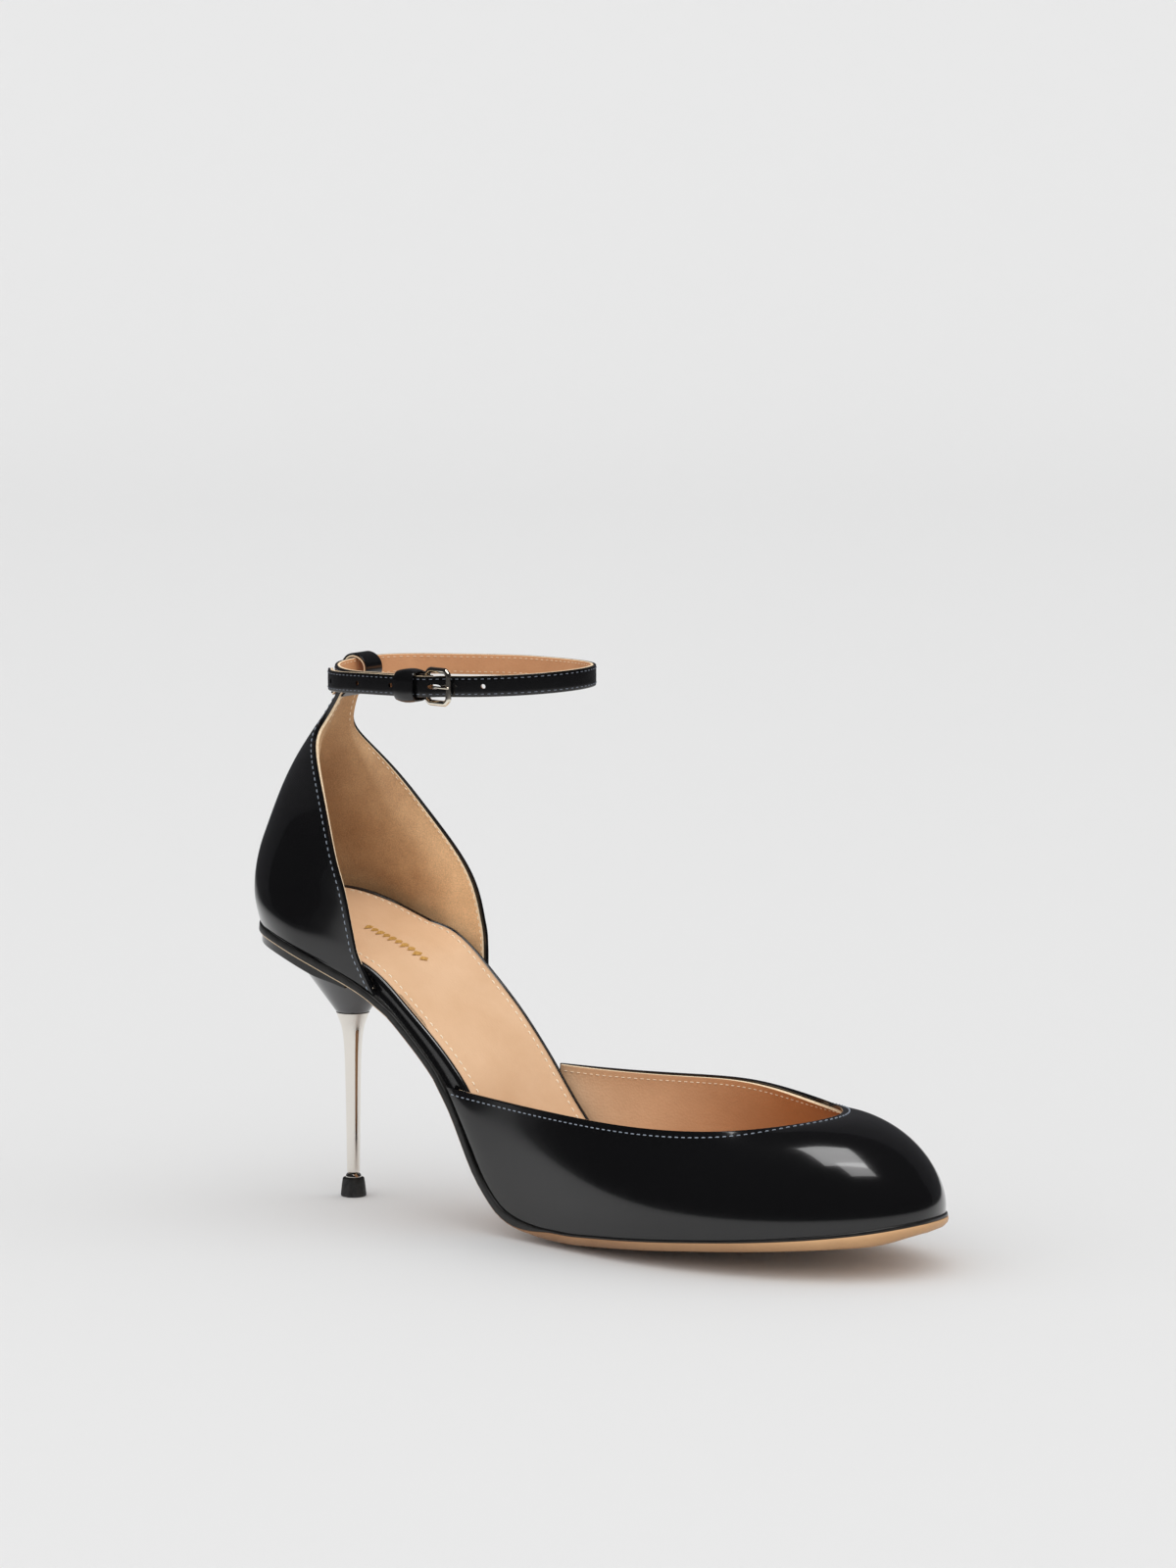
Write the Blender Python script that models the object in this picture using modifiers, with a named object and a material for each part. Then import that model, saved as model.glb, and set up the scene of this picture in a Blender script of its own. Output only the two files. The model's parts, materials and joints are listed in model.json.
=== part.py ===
"""High heel pump with an ankle strap, right foot, built the way the shoe is lasted.

Frame: the origin is the centre of the heel tip's floor face, +X runs to the toe, +Y to the inner
(medial) side and +Z up. Lengths in this file are millimetres; to_metres() is the only conversion.
"""

import math

import bmesh
import bpy
import numpy as np
from mathutils import Matrix, Vector

MM = 0.001
GAP = 0.3                   # clearance between neighbouring pieces

# Plan outline of the sole
SEAT_REAR_X = -29.0
TOE_TIP_X = 203.0
SEAT_HALF_WIDTH = 25.0
SEAT_ARC = 32.0             # length of the elliptic arc that rounds the seat
SEAT_STRAIGHT_END_X = 3.0
WAIST_X = {"lateral": 52.0, "medial": 66.0}
WAIST_HALF_WIDTH = {"lateral": 24.6, "medial": 22.2}
BALL_X = {"lateral": 135.0, "medial": 147.0}
BALL_HALF_WIDTH = {"lateral": 37.0, "medial": 36.4}

OUTSOLE_THICKNESS = 2.2
SEAT_CUP = 0.6              # how far the middle of the seat lies below its edges
TREAD_CUP = 2.4             # the same under the ball of the foot
CUP_FLAT_SHARE = 1 / 3      # middle share of the width that stays level
TREAD_EDGE_Z = OUTSOLE_THICKNESS + TREAD_CUP

# Height of the feather line, where the upper meets the outsole: (x, z)
FEATHER = {
    "lateral": [(-29, 81.0), (-15, 79.4), (12, 71.0), (26, 65.0), (40, 53.4), (53, 38.8), (66, 15.6),
                (75, 7.4), (83, 5.2), (90, TREAD_EDGE_Z), (98, TREAD_EDGE_Z), (113, 5.6), (145, 8.4),
                (177, 11.4), (192, 13.3), (203, 15.2)],
    "medial": [(-29, 81.6), (-15, 80.6), (8, 75.0), (22, 69.6), (40, 56.4), (60, 36.0), (80, 14.0),
               (86, 8.8), (92, 5.4), (98, TREAD_EDGE_Z), (113, TREAD_EDGE_Z), (145, 8.2), (177, 11.4),
               (192, 13.3), (203, 15.2)],
}

# Sole stack, measured along the normal from the outsole's top face
SOLE_ROWS = 40
SOLE_COLUMNS = 6
MARGIN_LEVEL = 0.55
MARGIN_THICKNESS = 1.1
BOARD_LEVEL = 2.0
BOARD_THICKNESS = 2.1
FOAM_LEVEL = 4.45
FOAM_THICKNESS = 0.5
BINDING_THICKNESS = 0.6
BINDING_REACH = 10.0        # how far the binding runs in over the board
SOCK_LEVEL = 5.3
SOCK_THICKNESS = 0.8
CUSHION_THICKNESS = 1.3
CUSHION_RISE = 1.6          # how far the cushion lifts the sock in the seat
CUSHION_FRONT_X = 24.0
CUSHION_LIMITS_X = (-24.0, 17.0)
CUSHION_INSET = 8.0
FOAM_LIMITS_X = (95.0, 190.0)
FOAM_INSET = 11.0
FILLER_LIMITS_X = (100.0, 193.0)
SHANK_LIMITS_X = (-6.0, 92.0)
SHANK_HALF_WIDTH = 6.0

# Distances inside the sole outline
UPPER_INSET = 0.6
BOARD_INSET = 4.8
SOCK_INSET = 5.0
MARGIN_INSET = 7.0
FILLER_INSET = 9.0
OPEN_WAIST_INSET = 2.5      # the outsole narrows where no upper stands on it
OPEN_WAIST = {"lateral": (31.0, 53.0), "medial": (38.5, 61.0)}

# Upper
OUTER_THICKNESS = 1.0
LINING_THICKNESS = 0.8
STIFFENER_THICKNESS = 0.8
LINING_GAP = 0.5

# Quarter: its front edges and its back seam, level by level up to the tab: (x, y, z)
QUARTER_FRONT_LATERAL = [(26.5, -24.6, 65.0), (21.9, -25.2, 74.0), (19.3, -25.6, 83.0),
                         (16.4, -25.4, 94.0), (12.4, -24.4, 103.0), (7.0, -21.8, 115.5),
                         (0.8, -17.6, 126.5), (-5.4, -11.2, 135.8), (-4.6, -6.6, 142.6),
                         (0.2, -4.4, 152.4)]
QUARTER_FRONT_MEDIAL = [(32.0, 24.0, 66.8), (31.2, 24.6, 75.0), (29.2, 25.2, 83.5),
                        (25.6, 25.2, 93.5), (18.6, 24.4, 103.5), (10.6, 22.2, 113.5),
                        (2.4, 17.8, 124.8), (-4.2, 11.6, 134.4), (-4.4, 6.6, 141.6),
                        (0.2, 4.4, 152.4)]
QUARTER_BACK = [(-28.2, 0, 81.3), (-29.6, 0, 88.0), (-30.4, 0, 95.0), (-29.4, 0, 103.0),
                (-27.4, 0, 109.5), (-24.0, 0, 119.0), (-18.6, 0, 129.0), (-11.8, 0, 138.0),
                (-7.4, 0, 143.6), (-1.2, 0, 152.4)]

# Vamp: matching stations on the sole outline (x) and on the topline (x, y, z)
VAMP_STATIONS = [
    ("lateral", 52.5, (52.7, -24.2, 41.0)), ("lateral", 75.0, (75.0, -26.2, 39.3)),
    ("lateral", 101.0, (100.0, -29.4, 38.2)), ("lateral", 129.0, (125.0, -29.8, 37.6)),
    ("lateral", 157.0, (147.0, -24.6, 38.2)), ("lateral", 186.0, (163.5, -12.0, 40.0)),
    ("toe", TOE_TIP_X, (168.6, 2.0, 41.0)),
    ("medial", 187.0, (160.5, 16.4, 40.8)), ("medial", 161.0, (143.5, 25.4, 41.4)),
    ("medial", 131.0, (122.0, 29.6, 42.8)), ("medial", 100.0, (97.5, 29.4, 42.2)),
    ("medial", 77.0, (76.5, 25.6, 42.0)), ("medial", 59.0, (59.5, 22.0, 42.4)),
]
QUARTER_COLUMNS = 24
QUARTER_ROWS = 12
VAMP_ROWS = 7
VAMP_BULGE = 1.6            # how far the wall leans out above the feather line

# Heel
HEEL_COLLAR_Z = 54.6
HEEL_COLLAR_RADIUS = 4.9
HEEL_BREAST_X = 15.0
HEEL_SEAT_INSET = 2.0
HEEL_SEAT_GAP = 0.4
HEEL_SLAB = 2.6             # thickness of the block's rim under the outsole
HEEL_RIM_SHARE = 7 / 8      # share of the side's grid below the rim
HEEL_CONE_SLOPE = 1.4       # rise of the flare for each millimetre outwards
HEEL_FILLET = 1.2
HEEL_LEAST_RIM = 0.5
HEEL_COVER_THICKNESS = 0.6
HEEL_CORE_INSET = 1.1
HEEL_CORE_LIFT = 1.2
PIN_PROFILE = [(4.9, 54.6), (4.9, 54.0), (4.0, 52.3), (3.3, 50.3), (2.75, 46.6), (2.35, 38.0),
               (2.12, 26.0), (1.95, 12.0), (1.9, 7.3)]
PIN_DOWEL_RADIUS = 2.0
PIN_DOWEL_TOP_Z = 66.5
TIP_HEIGHT = 5.6
TIP_RADIUS = 3.75
TIP_TOP_RADIUS = 3.2
FERRULE_RADIUS = 1.5
FERRULE_TOP_Z = 7.0
DOWEL_RADIUS = 0.8
DOWEL_BOTTOM_Z = 2.0
DOWEL_TOP_Z = 14.0
SCREW_POSITION = (-11.0, 0.0)
SCREW_SIZE = (13.0, 1.5, 3.0)   # length, shank radius, head radius
NAIL_SIZE = (9.5, 0.6, 1.2)
HEAD_HEIGHT = 0.5
HEAD_SINK = 0.7
NAIL_POSITIONS = [(-12.0, -9.5), (-12.0, 9.5), (4.0, -11.0), (4.0, 11.0)]

# Ankle strap
STRAP_WIDTH = 6.0
STRAP_LAYER = 0.6
STRAP_HALF_THICKNESS = STRAP_LAYER + GAP / 2
RING_REAR_X = 3.7
RING_FRONT_X = 83.3
RING_CENTRE_Y = -1.0
RING_HALF_WIDTH = 26.5
RING_HEIGHT = 157.3
RING_REAR_POWER = 2.6       # squares off the back of the ring, so that it runs straight in its loop
LOOP_BORE_RADIUS = 3.45
LOOP_WALL = 0.75
LOOP_HALF_LENGTH = 3.7
BAR_X = 48.6                # where the buckle's bar crosses the strap
STRAP_START_TURN = 3.6      # degrees between the bar and the strap's first end
TAIL_LIFT = 3.1             # the tail's middle lies this far outside the strap's middle at the bar
TAIL_REST_LIFT = 2.0        # and this far beyond the keeper
TAIL_END_X = 5.6
HOLE_COUNT = 5
HOLE_SPACING = 13.4
PRONG_HOLE_X = 52.0
PRONG_HOLE_STRETCH = 3.9    # the prong crosses its hole aslant, which draws it out
HOLE_RADIUS = 0.75
FRAME_LENGTH = 7.6          # bar to front rail, middle to middle
FRAME_HEIGHT = 8.8          # side rail to side rail, middle to middle
FRAME_WIRE = 0.7
FRAME_CORNER = 1.6
PRONG_RADIUS = 0.36
PRONG_REACH = 0.9           # how far the prong's tip passes the front rail's middle
PRONG_CURL_DEGREES = (-20, -60, -100, -140, -180, -220, -260)
KEEPER_LENGTH = 7.4
KEEPER_WALL = 0.8
KEEPER_X = 40.8
KEEPER_CORNER_POWER = 8
KEEPER_ROOM = (0.6, 0.35, 0.7)  # clearance inside the strap, outside its tail, and across its width


def to_metres(point):
    return Vector(point) * MM


def ease(start, end, value):
    """0 before start, 1 after end, smooth between them."""
    t = min(max((value - start) / (end - start), 0.0), 1.0)
    return t * t * (3 - 2 * t)


def mix(a, b, share):
    return a + (b - a) * share


def curve_through(knots, values):
    """A smooth function through values at knots, with no overshoot between equal neighbours."""
    knots = np.asarray(knots, float)
    values = np.asarray(values, float)
    if values.ndim == 1:
        values = values[:, None]
    spans = np.diff(knots)[:, None]
    slopes = np.diff(values, axis=0) / spans
    tangents = np.zeros_like(values)
    tangents[0], tangents[-1] = slopes[0], slopes[-1]
    before, after = slopes[:-1], slopes[1:]
    same_way = before * after > 0
    with np.errstate(divide="ignore", invalid="ignore"):
        harmonic = 2 * before * after / (before + after)
    tangents[1:-1] = np.where(same_way, harmonic, 0.0)

    def value_at(t):
        i = int(np.clip(np.searchsorted(knots, t) - 1, 0, len(knots) - 2))
        h = knots[i + 1] - knots[i]
        u = float(np.clip((t - knots[i]) / h, 0.0, 1.0))
        point = ((2 * u**3 - 3 * u**2 + 1) * values[i] + (u**3 - 2 * u**2 + u) * h * tangents[i]
                 + (3 * u**2 - 2 * u**3) * values[i + 1] + (u**3 - u**2) * h * tangents[i + 1])
        return point if len(point) > 1 else float(point[0])

    return value_at


# ---------------------------------------------------------------- sole surface

FEATHER_HEIGHT = {side: curve_through(*zip(*points)) for side, points in FEATHER.items()}


def half_width(side, x):
    """Distance from the middle line to the edge of the sole."""
    if x <= SEAT_STRAIGHT_END_X:
        share = (SEAT_STRAIGHT_END_X - x) / SEAT_ARC
        return SEAT_HALF_WIDTH * math.sqrt(max(1 - share * share, 0.0))
    waist_x, ball_x = WAIST_X[side], BALL_X[side]
    if x <= waist_x:
        share = ease(SEAT_STRAIGHT_END_X, waist_x, x)
        return mix(SEAT_HALF_WIDTH, WAIST_HALF_WIDTH[side], share)
    if x <= ball_x:
        share = ease(waist_x, ball_x, x)
        return mix(WAIST_HALF_WIDTH[side], BALL_HALF_WIDTH[side], share)
    share = (x - ball_x) / (TOE_TIP_X - ball_x)
    return BALL_HALF_WIDTH[side] * math.sqrt(max(1 - share * share, 0.0))


def station_x(row):
    """x of a row of the sole's grid, closer together at the round ends; row 0 is the seat's rear."""
    even = row / SOLE_ROWS
    rounded = (1 - math.cos(math.pi * even)) / 2
    return mix(SEAT_REAR_X, TOE_TIP_X, 0.2 * even + 0.8 * rounded)


ROW_X = [station_x(row) for row in range(SOLE_ROWS + 1)]


def nearest_row(x):
    return min(range(SOLE_ROWS + 1), key=lambda row: abs(ROW_X[row] - x))


def dense_outline(side):
    sign = -1 if side == "lateral" else 1
    shares = (1 - np.cos(np.linspace(0, math.pi, 1201))) / 2
    xs = SEAT_REAR_X + (TOE_TIP_X - SEAT_REAR_X) * shares
    points = np.array([(x, sign * half_width(side, x)) for x in xs])
    lengths = np.r_[0, np.cumsum(np.linalg.norm(np.diff(points, axis=0), axis=1))]
    return points, lengths


OUTLINE = {side: dense_outline(side) for side in ("lateral", "medial")}


def outline_point(side, distance, inset=0.0):
    """Point on the sole outline at a distance from the seat's rear, moved inwards by inset."""
    points, lengths = OUTLINE[side]

    def at(d):
        return np.array([np.interp(d, lengths, points[:, k]) for k in (0, 1)])

    ahead, behind = min(distance + 0.6, lengths[-1]), max(distance - 0.6, 0.0)
    along = at(ahead) - at(behind)
    if distance < 0.6:
        along = np.array([0.0, 1.0 if side == "medial" else -1.0])
    if distance > lengths[-1] - 0.6:
        along = np.array([0.0, -1.0 if side == "medial" else 1.0])
    along = along / np.linalg.norm(along)
    inwards = np.array([-along[1], along[0]]) * (1 if side == "lateral" else -1)
    return at(distance) + inwards * inset


def distance_at(side, x):
    """Distance along the outline from the seat's rear to the station at x."""
    points, lengths = OUTLINE[side]
    return float(np.interp(x, points[:, 0], lengths))


def base_height(x, y):
    """Height of the outsole's top face."""
    x = min(max(x, SEAT_REAR_X + 0.05), TOE_TIP_X - 0.05)
    side = "lateral" if y < 0 else "medial"
    across = min(max(y / max(half_width(side, x), 1.0), -1.0), 1.0)
    edge = mix(FEATHER_HEIGHT["lateral"](x), FEATHER_HEIGHT["medial"](x), (across + 1) / 2)
    rise = max(0.0, (abs(across) - CUP_FLAT_SHARE) / (1 - CUP_FLAT_SHARE)) ** 2
    cup = mix(SEAT_CUP, TREAD_CUP, ease(55.0, 95.0, x))
    end_fade = ease(0.0, 14.0, min(x - SEAT_REAR_X, TOE_TIP_X - x))
    return edge - cup * end_fade * (1 - rise)


def sole_point(x, y, level):
    """Point above the outsole's top face, level measured along the face's normal."""
    step = 0.4
    slope_x = (base_height(x + step, y) - base_height(x - step, y)) / (2 * step)
    slope_y = (base_height(x, y + step) - base_height(x, y - step)) / (2 * step)
    normal = Vector((-slope_x, -slope_y, 1.0)).normalized()
    return Vector((x, y, base_height(x, y))) + normal * level


def open_waist(side, x):
    """1 where the sole's edge is bare between quarter and vamp, 0 under the upper."""
    start, end = OPEN_WAIST[side]
    return ease(start, start + 5, x) * (1 - ease(end - 5, end, x))


def below_sole(x, y, gap):
    """Height at (x, y) of a surface that lies under the outsole with a gap."""
    step = 0.4
    slope_x = (base_height(x + step, y) - base_height(x - step, y)) / (2 * step)
    slope_y = (base_height(x, y + step) - base_height(x, y - step)) / (2 * step)
    return base_height(x, y) - (OUTSOLE_THICKNESS + gap) * math.sqrt(1 + slope_x**2 + slope_y**2)


def sole_layer(rows, inset, level):
    """Surface of a sole layer between two rows. inset and level are numbers or functions."""
    def at(across, along):
        x = station_x(mix(*rows, along))
        corners = []
        for side in ("medial", "lateral"):
            amount = inset(side, x) if callable(inset) else inset
            corners.append(outline_point(side, distance_at(side, x), amount))
        point = mix(corners[0], corners[1], across)
        height = level(point[0]) if callable(level) else level
        return sole_point(point[0], point[1], height)

    return at


# ---------------------------------------------------------------- Blender helpers

def collection_named(name):
    collection = bpy.data.collections.new(name)
    bpy.context.scene.collection.children.link(collection)
    return collection


def material(name, colour, roughness, metallic=0.0):
    finish = bpy.data.materials.new(name)
    finish.use_nodes = True
    shader = finish.node_tree.nodes["Principled BSDF"]
    shader.inputs["Base Color"].default_value = (*colour, 1.0)
    shader.inputs["Roughness"].default_value = roughness
    shader.inputs["Metallic"].default_value = metallic
    finish.diffuse_color = (*colour, 1.0)
    return finish


def add_object(name, mesh, finish, collection, origin=(0, 0, 0)):
    mesh.name = name
    if finish:
        mesh.materials.append(finish)
    mesh.transform(Matrix.Translation(-to_metres(origin)))
    mesh.shade_smooth()
    mesh.set_sharp_from_angle(angle=math.radians(35))
    item = bpy.data.objects.new(name, mesh)
    item.location = to_metres(origin)
    collection.objects.link(item)
    return item


def mesh_from(bm, name):
    mesh = bpy.data.meshes.new(name)
    bm.to_mesh(mesh)
    bm.free()
    return mesh


def sheet(name, surface, columns, rows, thickness, finish, collection, outwards=1.0, origin=(0, 0, 0)):
    """A grid bent onto a surface(across, along) and thickened to one side with Solidify."""
    bm = bmesh.new()
    bmesh.ops.create_grid(bm, x_segments=columns, y_segments=rows, size=1.0)
    for vert in bm.verts:
        vert.co = to_metres(surface((vert.co.x + 1) / 2, (vert.co.y + 1) / 2))
    bmesh.ops.remove_doubles(bm, verts=bm.verts, dist=1e-5)
    item = add_object(name, mesh_from(bm, name), finish, collection, origin)
    solidify = item.modifiers.new("thickness", "SOLIDIFY")
    solidify.thickness = thickness * MM
    solidify.offset = outwards
    solidify.use_even_offset = True
    solidify.use_quality_normals = True
    return item


def turned(name, profile, finish, collection, steps=20, centre=(0, 0)):
    """A profile of (radius, z) turned about a vertical axis."""
    bm = bmesh.new()
    verts = [bm.verts.new(to_metres((radius, 0, z))) for radius, z in profile]
    for first, second in zip(verts, verts[1:]):
        bm.edges.new((first, second))
    if min(profile[0][0], profile[-1][0]) > 0:
        bm.edges.new((verts[-1], verts[0]))
    item = add_object(name, mesh_from(bm, name), finish, collection)
    item.location = to_metres((*centre, 0))
    screw = item.modifiers.new("turn", "SCREW")
    screw.steps = screw.render_steps = steps
    screw.use_merge_vertices = True
    screw.merge_threshold = 1e-5
    screw.use_normal_calculate = False
    return item


def cylinder_cutter(name, radius, centre, bottom, top, collection, segments=10):
    """A cutter turned a little about its axis, so that its edges miss the radial edges of what it cuts."""
    bm = bmesh.new()
    bmesh.ops.create_cone(bm, cap_ends=True, segments=segments, radius1=radius * MM, radius2=radius * MM,
                          depth=(top - bottom) * MM)
    bm.transform(Matrix.Rotation(math.radians(4), 4, "Z"))
    return add_cutter(name, bm, collection, Matrix.Translation(to_metres((*centre, (top + bottom) / 2))))


def add_cutter(name, bm, collection, placement):
    cutter = bpy.data.objects.new(name, mesh_from(bm, name))
    cutter.matrix_world = placement
    cutter.hide_render = True
    cutter.display_type = "WIRE"
    collection.objects.link(cutter)
    return cutter


def cut(item, *cutters):
    for cutter in cutters:
        boolean = item.modifiers.new("cut " + cutter.name, "BOOLEAN")
        boolean.operation = "DIFFERENCE"
        boolean.solver = "EXACT"
        boolean.object = cutter


def offset_surface(surface, distance, flip=1.0):
    """surface moved by a distance (a number or a function of across, along) along its normal."""
    def at(across, along):
        step = 0.01
        a0, a1 = max(across - step, 0.0), min(across + step, 1.0)
        b0, b1 = max(along - step, 0.0), min(along + step, 1.0)
        u = Vector(surface(a1, along)) - Vector(surface(a0, along))
        v = Vector(surface(across, b1)) - Vector(surface(across, b0))
        amount = distance(across, along) if callable(distance) else distance
        return Vector(surface(across, along)) + u.cross(v).normalized() * flip * amount

    return at


# ---------------------------------------------------------------- sole stack

def sole_sheet(name, limits, columns, inset, level, thickness, finish, parts, outwards=1):
    """A layer of the sole on the common rows, between the rows nearest to two x positions."""
    rows = [nearest_row(x) for x in limits]
    return sheet(name, sole_layer(rows, inset, level), columns, rows[1] - rows[0], thickness, finish,
                 parts, outwards)


def outsole_inset(side, x):
    return OPEN_WAIST_INSET * open_waist(side, x)


def sock_level(x):
    return SOCK_LEVEL + CUSHION_RISE * (1 - ease(CUSHION_FRONT_X - 6, CUSHION_FRONT_X + 10, x))


def shank_surface():
    """A narrow strip of the sole's surface with rounded ends."""
    rows = [nearest_row(x) for x in SHANK_LIMITS_X]

    def at(across, along):
        reach = SHANK_HALF_WIDTH * math.sqrt(max(1 - abs(2 * along - 1) ** 8, 0.05))
        return sole_point(station_x(mix(*rows, along)), mix(reach, -reach, across), MARGIN_LEVEL)

    return at, rows


def build_sole(parts, finishes):
    whole = (SEAT_REAR_X, TOE_TIP_X)
    outsole = sole_sheet("outsole", whole, SOLE_COLUMNS, outsole_inset, 0.0, OUTSOLE_THICKNESS,
                         finishes["outsole"], parts, outwards=-1)
    board = sole_sheet("insole_board", whole, SOLE_COLUMNS, BOARD_INSET, BOARD_LEVEL, BOARD_THICKNESS,
                       finishes["board"], parts)
    sole_sheet("sock_lining", whole, SOLE_COLUMNS, SOCK_INSET, sock_level, SOCK_THICKNESS,
               finishes["sock"], parts)
    sole_sheet("heel_cushion", CUSHION_LIMITS_X, 4, CUSHION_INSET, SOCK_LEVEL, CUSHION_THICKNESS,
               finishes["foam"], parts)
    sole_sheet("forepart_foam", FOAM_LIMITS_X, 4, FOAM_INSET, FOAM_LEVEL, FOAM_THICKNESS,
               finishes["foam"], parts)
    sole_sheet("bottom_filler", FILLER_LIMITS_X, 4, FILLER_INSET, MARGIN_LEVEL, MARGIN_THICKNESS,
               finishes["filler"], parts)
    shank, rows = shank_surface()
    sheet("shank", shank, 2, rows[1] - rows[0], MARGIN_THICKNESS, finishes["steel"], parts)
    return outsole, board


def binding_surface(side):
    """Leather that wraps the insole's bare edge: a flange on top of the board and a wall down its side."""
    rows = [nearest_row(OPEN_WAIST[side][0] - 8.0), nearest_row(OPEN_WAIST[side][1] + 8.0)]
    top, wall = FOAM_LEVEL, BOARD_INSET - GAP
    covered, bare = BOARD_LEVEL, MARGIN_LEVEL

    def at(across, along):
        x = station_x(mix(*rows, along))
        distance = distance_at(side, x)
        foot = mix(covered, bare, open_waist(side, x))
        path = [(BINDING_REACH, top), (wall, top), (wall, foot)]
        lengths = np.array([0.0, 0.5, 1.0])
        share = across if side == "lateral" else 1 - across
        inset = np.interp(share, lengths, [p[0] for p in path])
        level = np.interp(share, lengths, [p[1] for p in path])
        point = outline_point(side, distance, inset)
        return sole_point(point[0], point[1], level)

    return at, rows


def build_bindings(parts, finishes):
    for side in ("lateral", "medial"):
        surface, rows = binding_surface(side)
        sheet("insole_binding_" + side, surface, 4, rows[1] - rows[0], BINDING_THICKNESS,
              finishes["patent"], parts)


# ---------------------------------------------------------------- upper

def quarter_surface():
    """Outer face of the quarter: across runs lateral front, back seam, medial front; along runs upwards."""
    levels = np.linspace(0, 1, len(QUARTER_BACK))
    back = curve_through(levels, QUARTER_BACK)
    fronts = {"lateral": curve_through(levels, QUARTER_FRONT_LATERAL),
              "medial": curve_through(levels, QUARTER_FRONT_MEDIAL)}
    margin_share = 1 / (QUARTER_ROWS + 1)
    first_x = {"lateral": QUARTER_FRONT_LATERAL[0][0], "medial": QUARTER_FRONT_MEDIAL[0][0]}

    def feather(side, reach, inset):
        point = outline_point(side, distance_at(side, first_x[side]) * reach, inset)
        return sole_point(point[0], point[1], MARGIN_LEVEL)

    def wall(side, reach, height):
        foot = feather(side, reach, UPPER_INSET)
        corner = feather(side, 1.0, UPPER_INSET)
        heel = feather(side, 0.0, UPPER_INSET)
        seat_x = (foot.x - heel.x) / (corner.x - heel.x)
        seat_y = foot.y / corner.y
        tab = ease(85.0, 128.0, back(height)[2])
        shape_x = mix(seat_x, reach * reach, tab)
        shape_y = mix(seat_y, reach, tab)
        centre, end = back(height), fronts[side](height)
        point = Vector((mix(centre[0], end[0], shape_x), end[1] * shape_y,
                        mix(centre[2], end[2], mix(shape_x, reach, 0.3))))
        settle = 1 - ease(0.0, 0.12, height)
        return point.lerp(foot, settle)

    def at(across, along):
        reach = abs(2 * across - 1)
        side = "lateral" if across < 0.5 else "medial"
        if along < margin_share:
            return feather(side, reach, mix(MARGIN_INSET, UPPER_INSET, along / margin_share))
        return wall(side, reach, (along - margin_share) / (1 - margin_share))

    return at, wall


def vamp_surface():
    """Outer face of the vamp: across runs lateral corner, toe, medial corner; along runs upwards."""
    def travel(side, x):
        """Rows of the sole's grid past the toe tip, counted negative on the lateral side."""
        row = float(np.interp(x, ROW_X, range(SOLE_ROWS + 1)))
        return (SOLE_ROWS - row) * (-1 if side == "lateral" else 1)

    limits = (nearest_row(VAMP_STATIONS[0][1]) - SOLE_ROWS, SOLE_ROWS - nearest_row(VAMP_STATIONS[-1][1]))
    knots = [travel(side, x) for side, x, _ in VAMP_STATIONS]
    knots[0], knots[-1] = limits
    topline = curve_through(knots, [point for _, _, point in VAMP_STATIONS])
    margin_share = 1 / (VAMP_ROWS + 1)

    def feather(place, inset):
        side = "lateral" if place < 0 else "medial"
        distance = distance_at(side, station_x(SOLE_ROWS - abs(place)))
        point = outline_point(side, distance, inset)
        return sole_point(point[0], point[1], MARGIN_LEVEL)

    def wall(across, share):
        place = mix(*limits, across)
        foot, top = feather(place, UPPER_INSET), Vector(topline(place))
        inner = feather(place, UPPER_INSET + 2.0)
        out = Vector((foot.x - inner.x, foot.y - inner.y, 0)).normalized()
        rise = top.z - foot.z
        run = max((foot - top).dot(out), 0.0)
        lean = ease(4.0, 26.0, run)
        handle_low = foot + Vector((0, 0, rise * 0.5)) + out * VAMP_BULGE * ease(2.0, 16.0, rise)
        side_handle = top + out * (0.4 * run + 0.8 * ease(4, 20, rise)) - Vector((0, 0, rise * 0.33))
        toe_handle = top + out * 0.56 * run + Vector((0, 0, 0.6))
        handle_high = side_handle.lerp(toe_handle, lean)
        a, b, c, d = ((1 - share) ** 3, 3 * share * (1 - share) ** 2, 3 * share**2 * (1 - share), share**3)
        return foot * a + handle_low * b + handle_high * c + top * d

    def at(across, along):
        if along < margin_share:
            return feather(mix(*limits, across), mix(MARGIN_INSET, UPPER_INSET, along / margin_share))
        return wall(across, (along - margin_share) / (1 - margin_share))

    return at, wall, limits[1] - limits[0]


def edge_fade(across, along, border_across, border_along):
    """1 well inside a sheet, falling to 0 at its sides and its top."""
    return (ease(0, border_across, across) * ease(0, border_across, 1 - across)
            * ease(0, border_along, 1 - along))


def window(surface, across_limits, along_limits):
    """The part of a surface between limits, stretched to run from 0 to 1 again."""
    def at(across, along):
        return surface(mix(*across_limits, across), mix(*along_limits, along))

    return at


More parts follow.
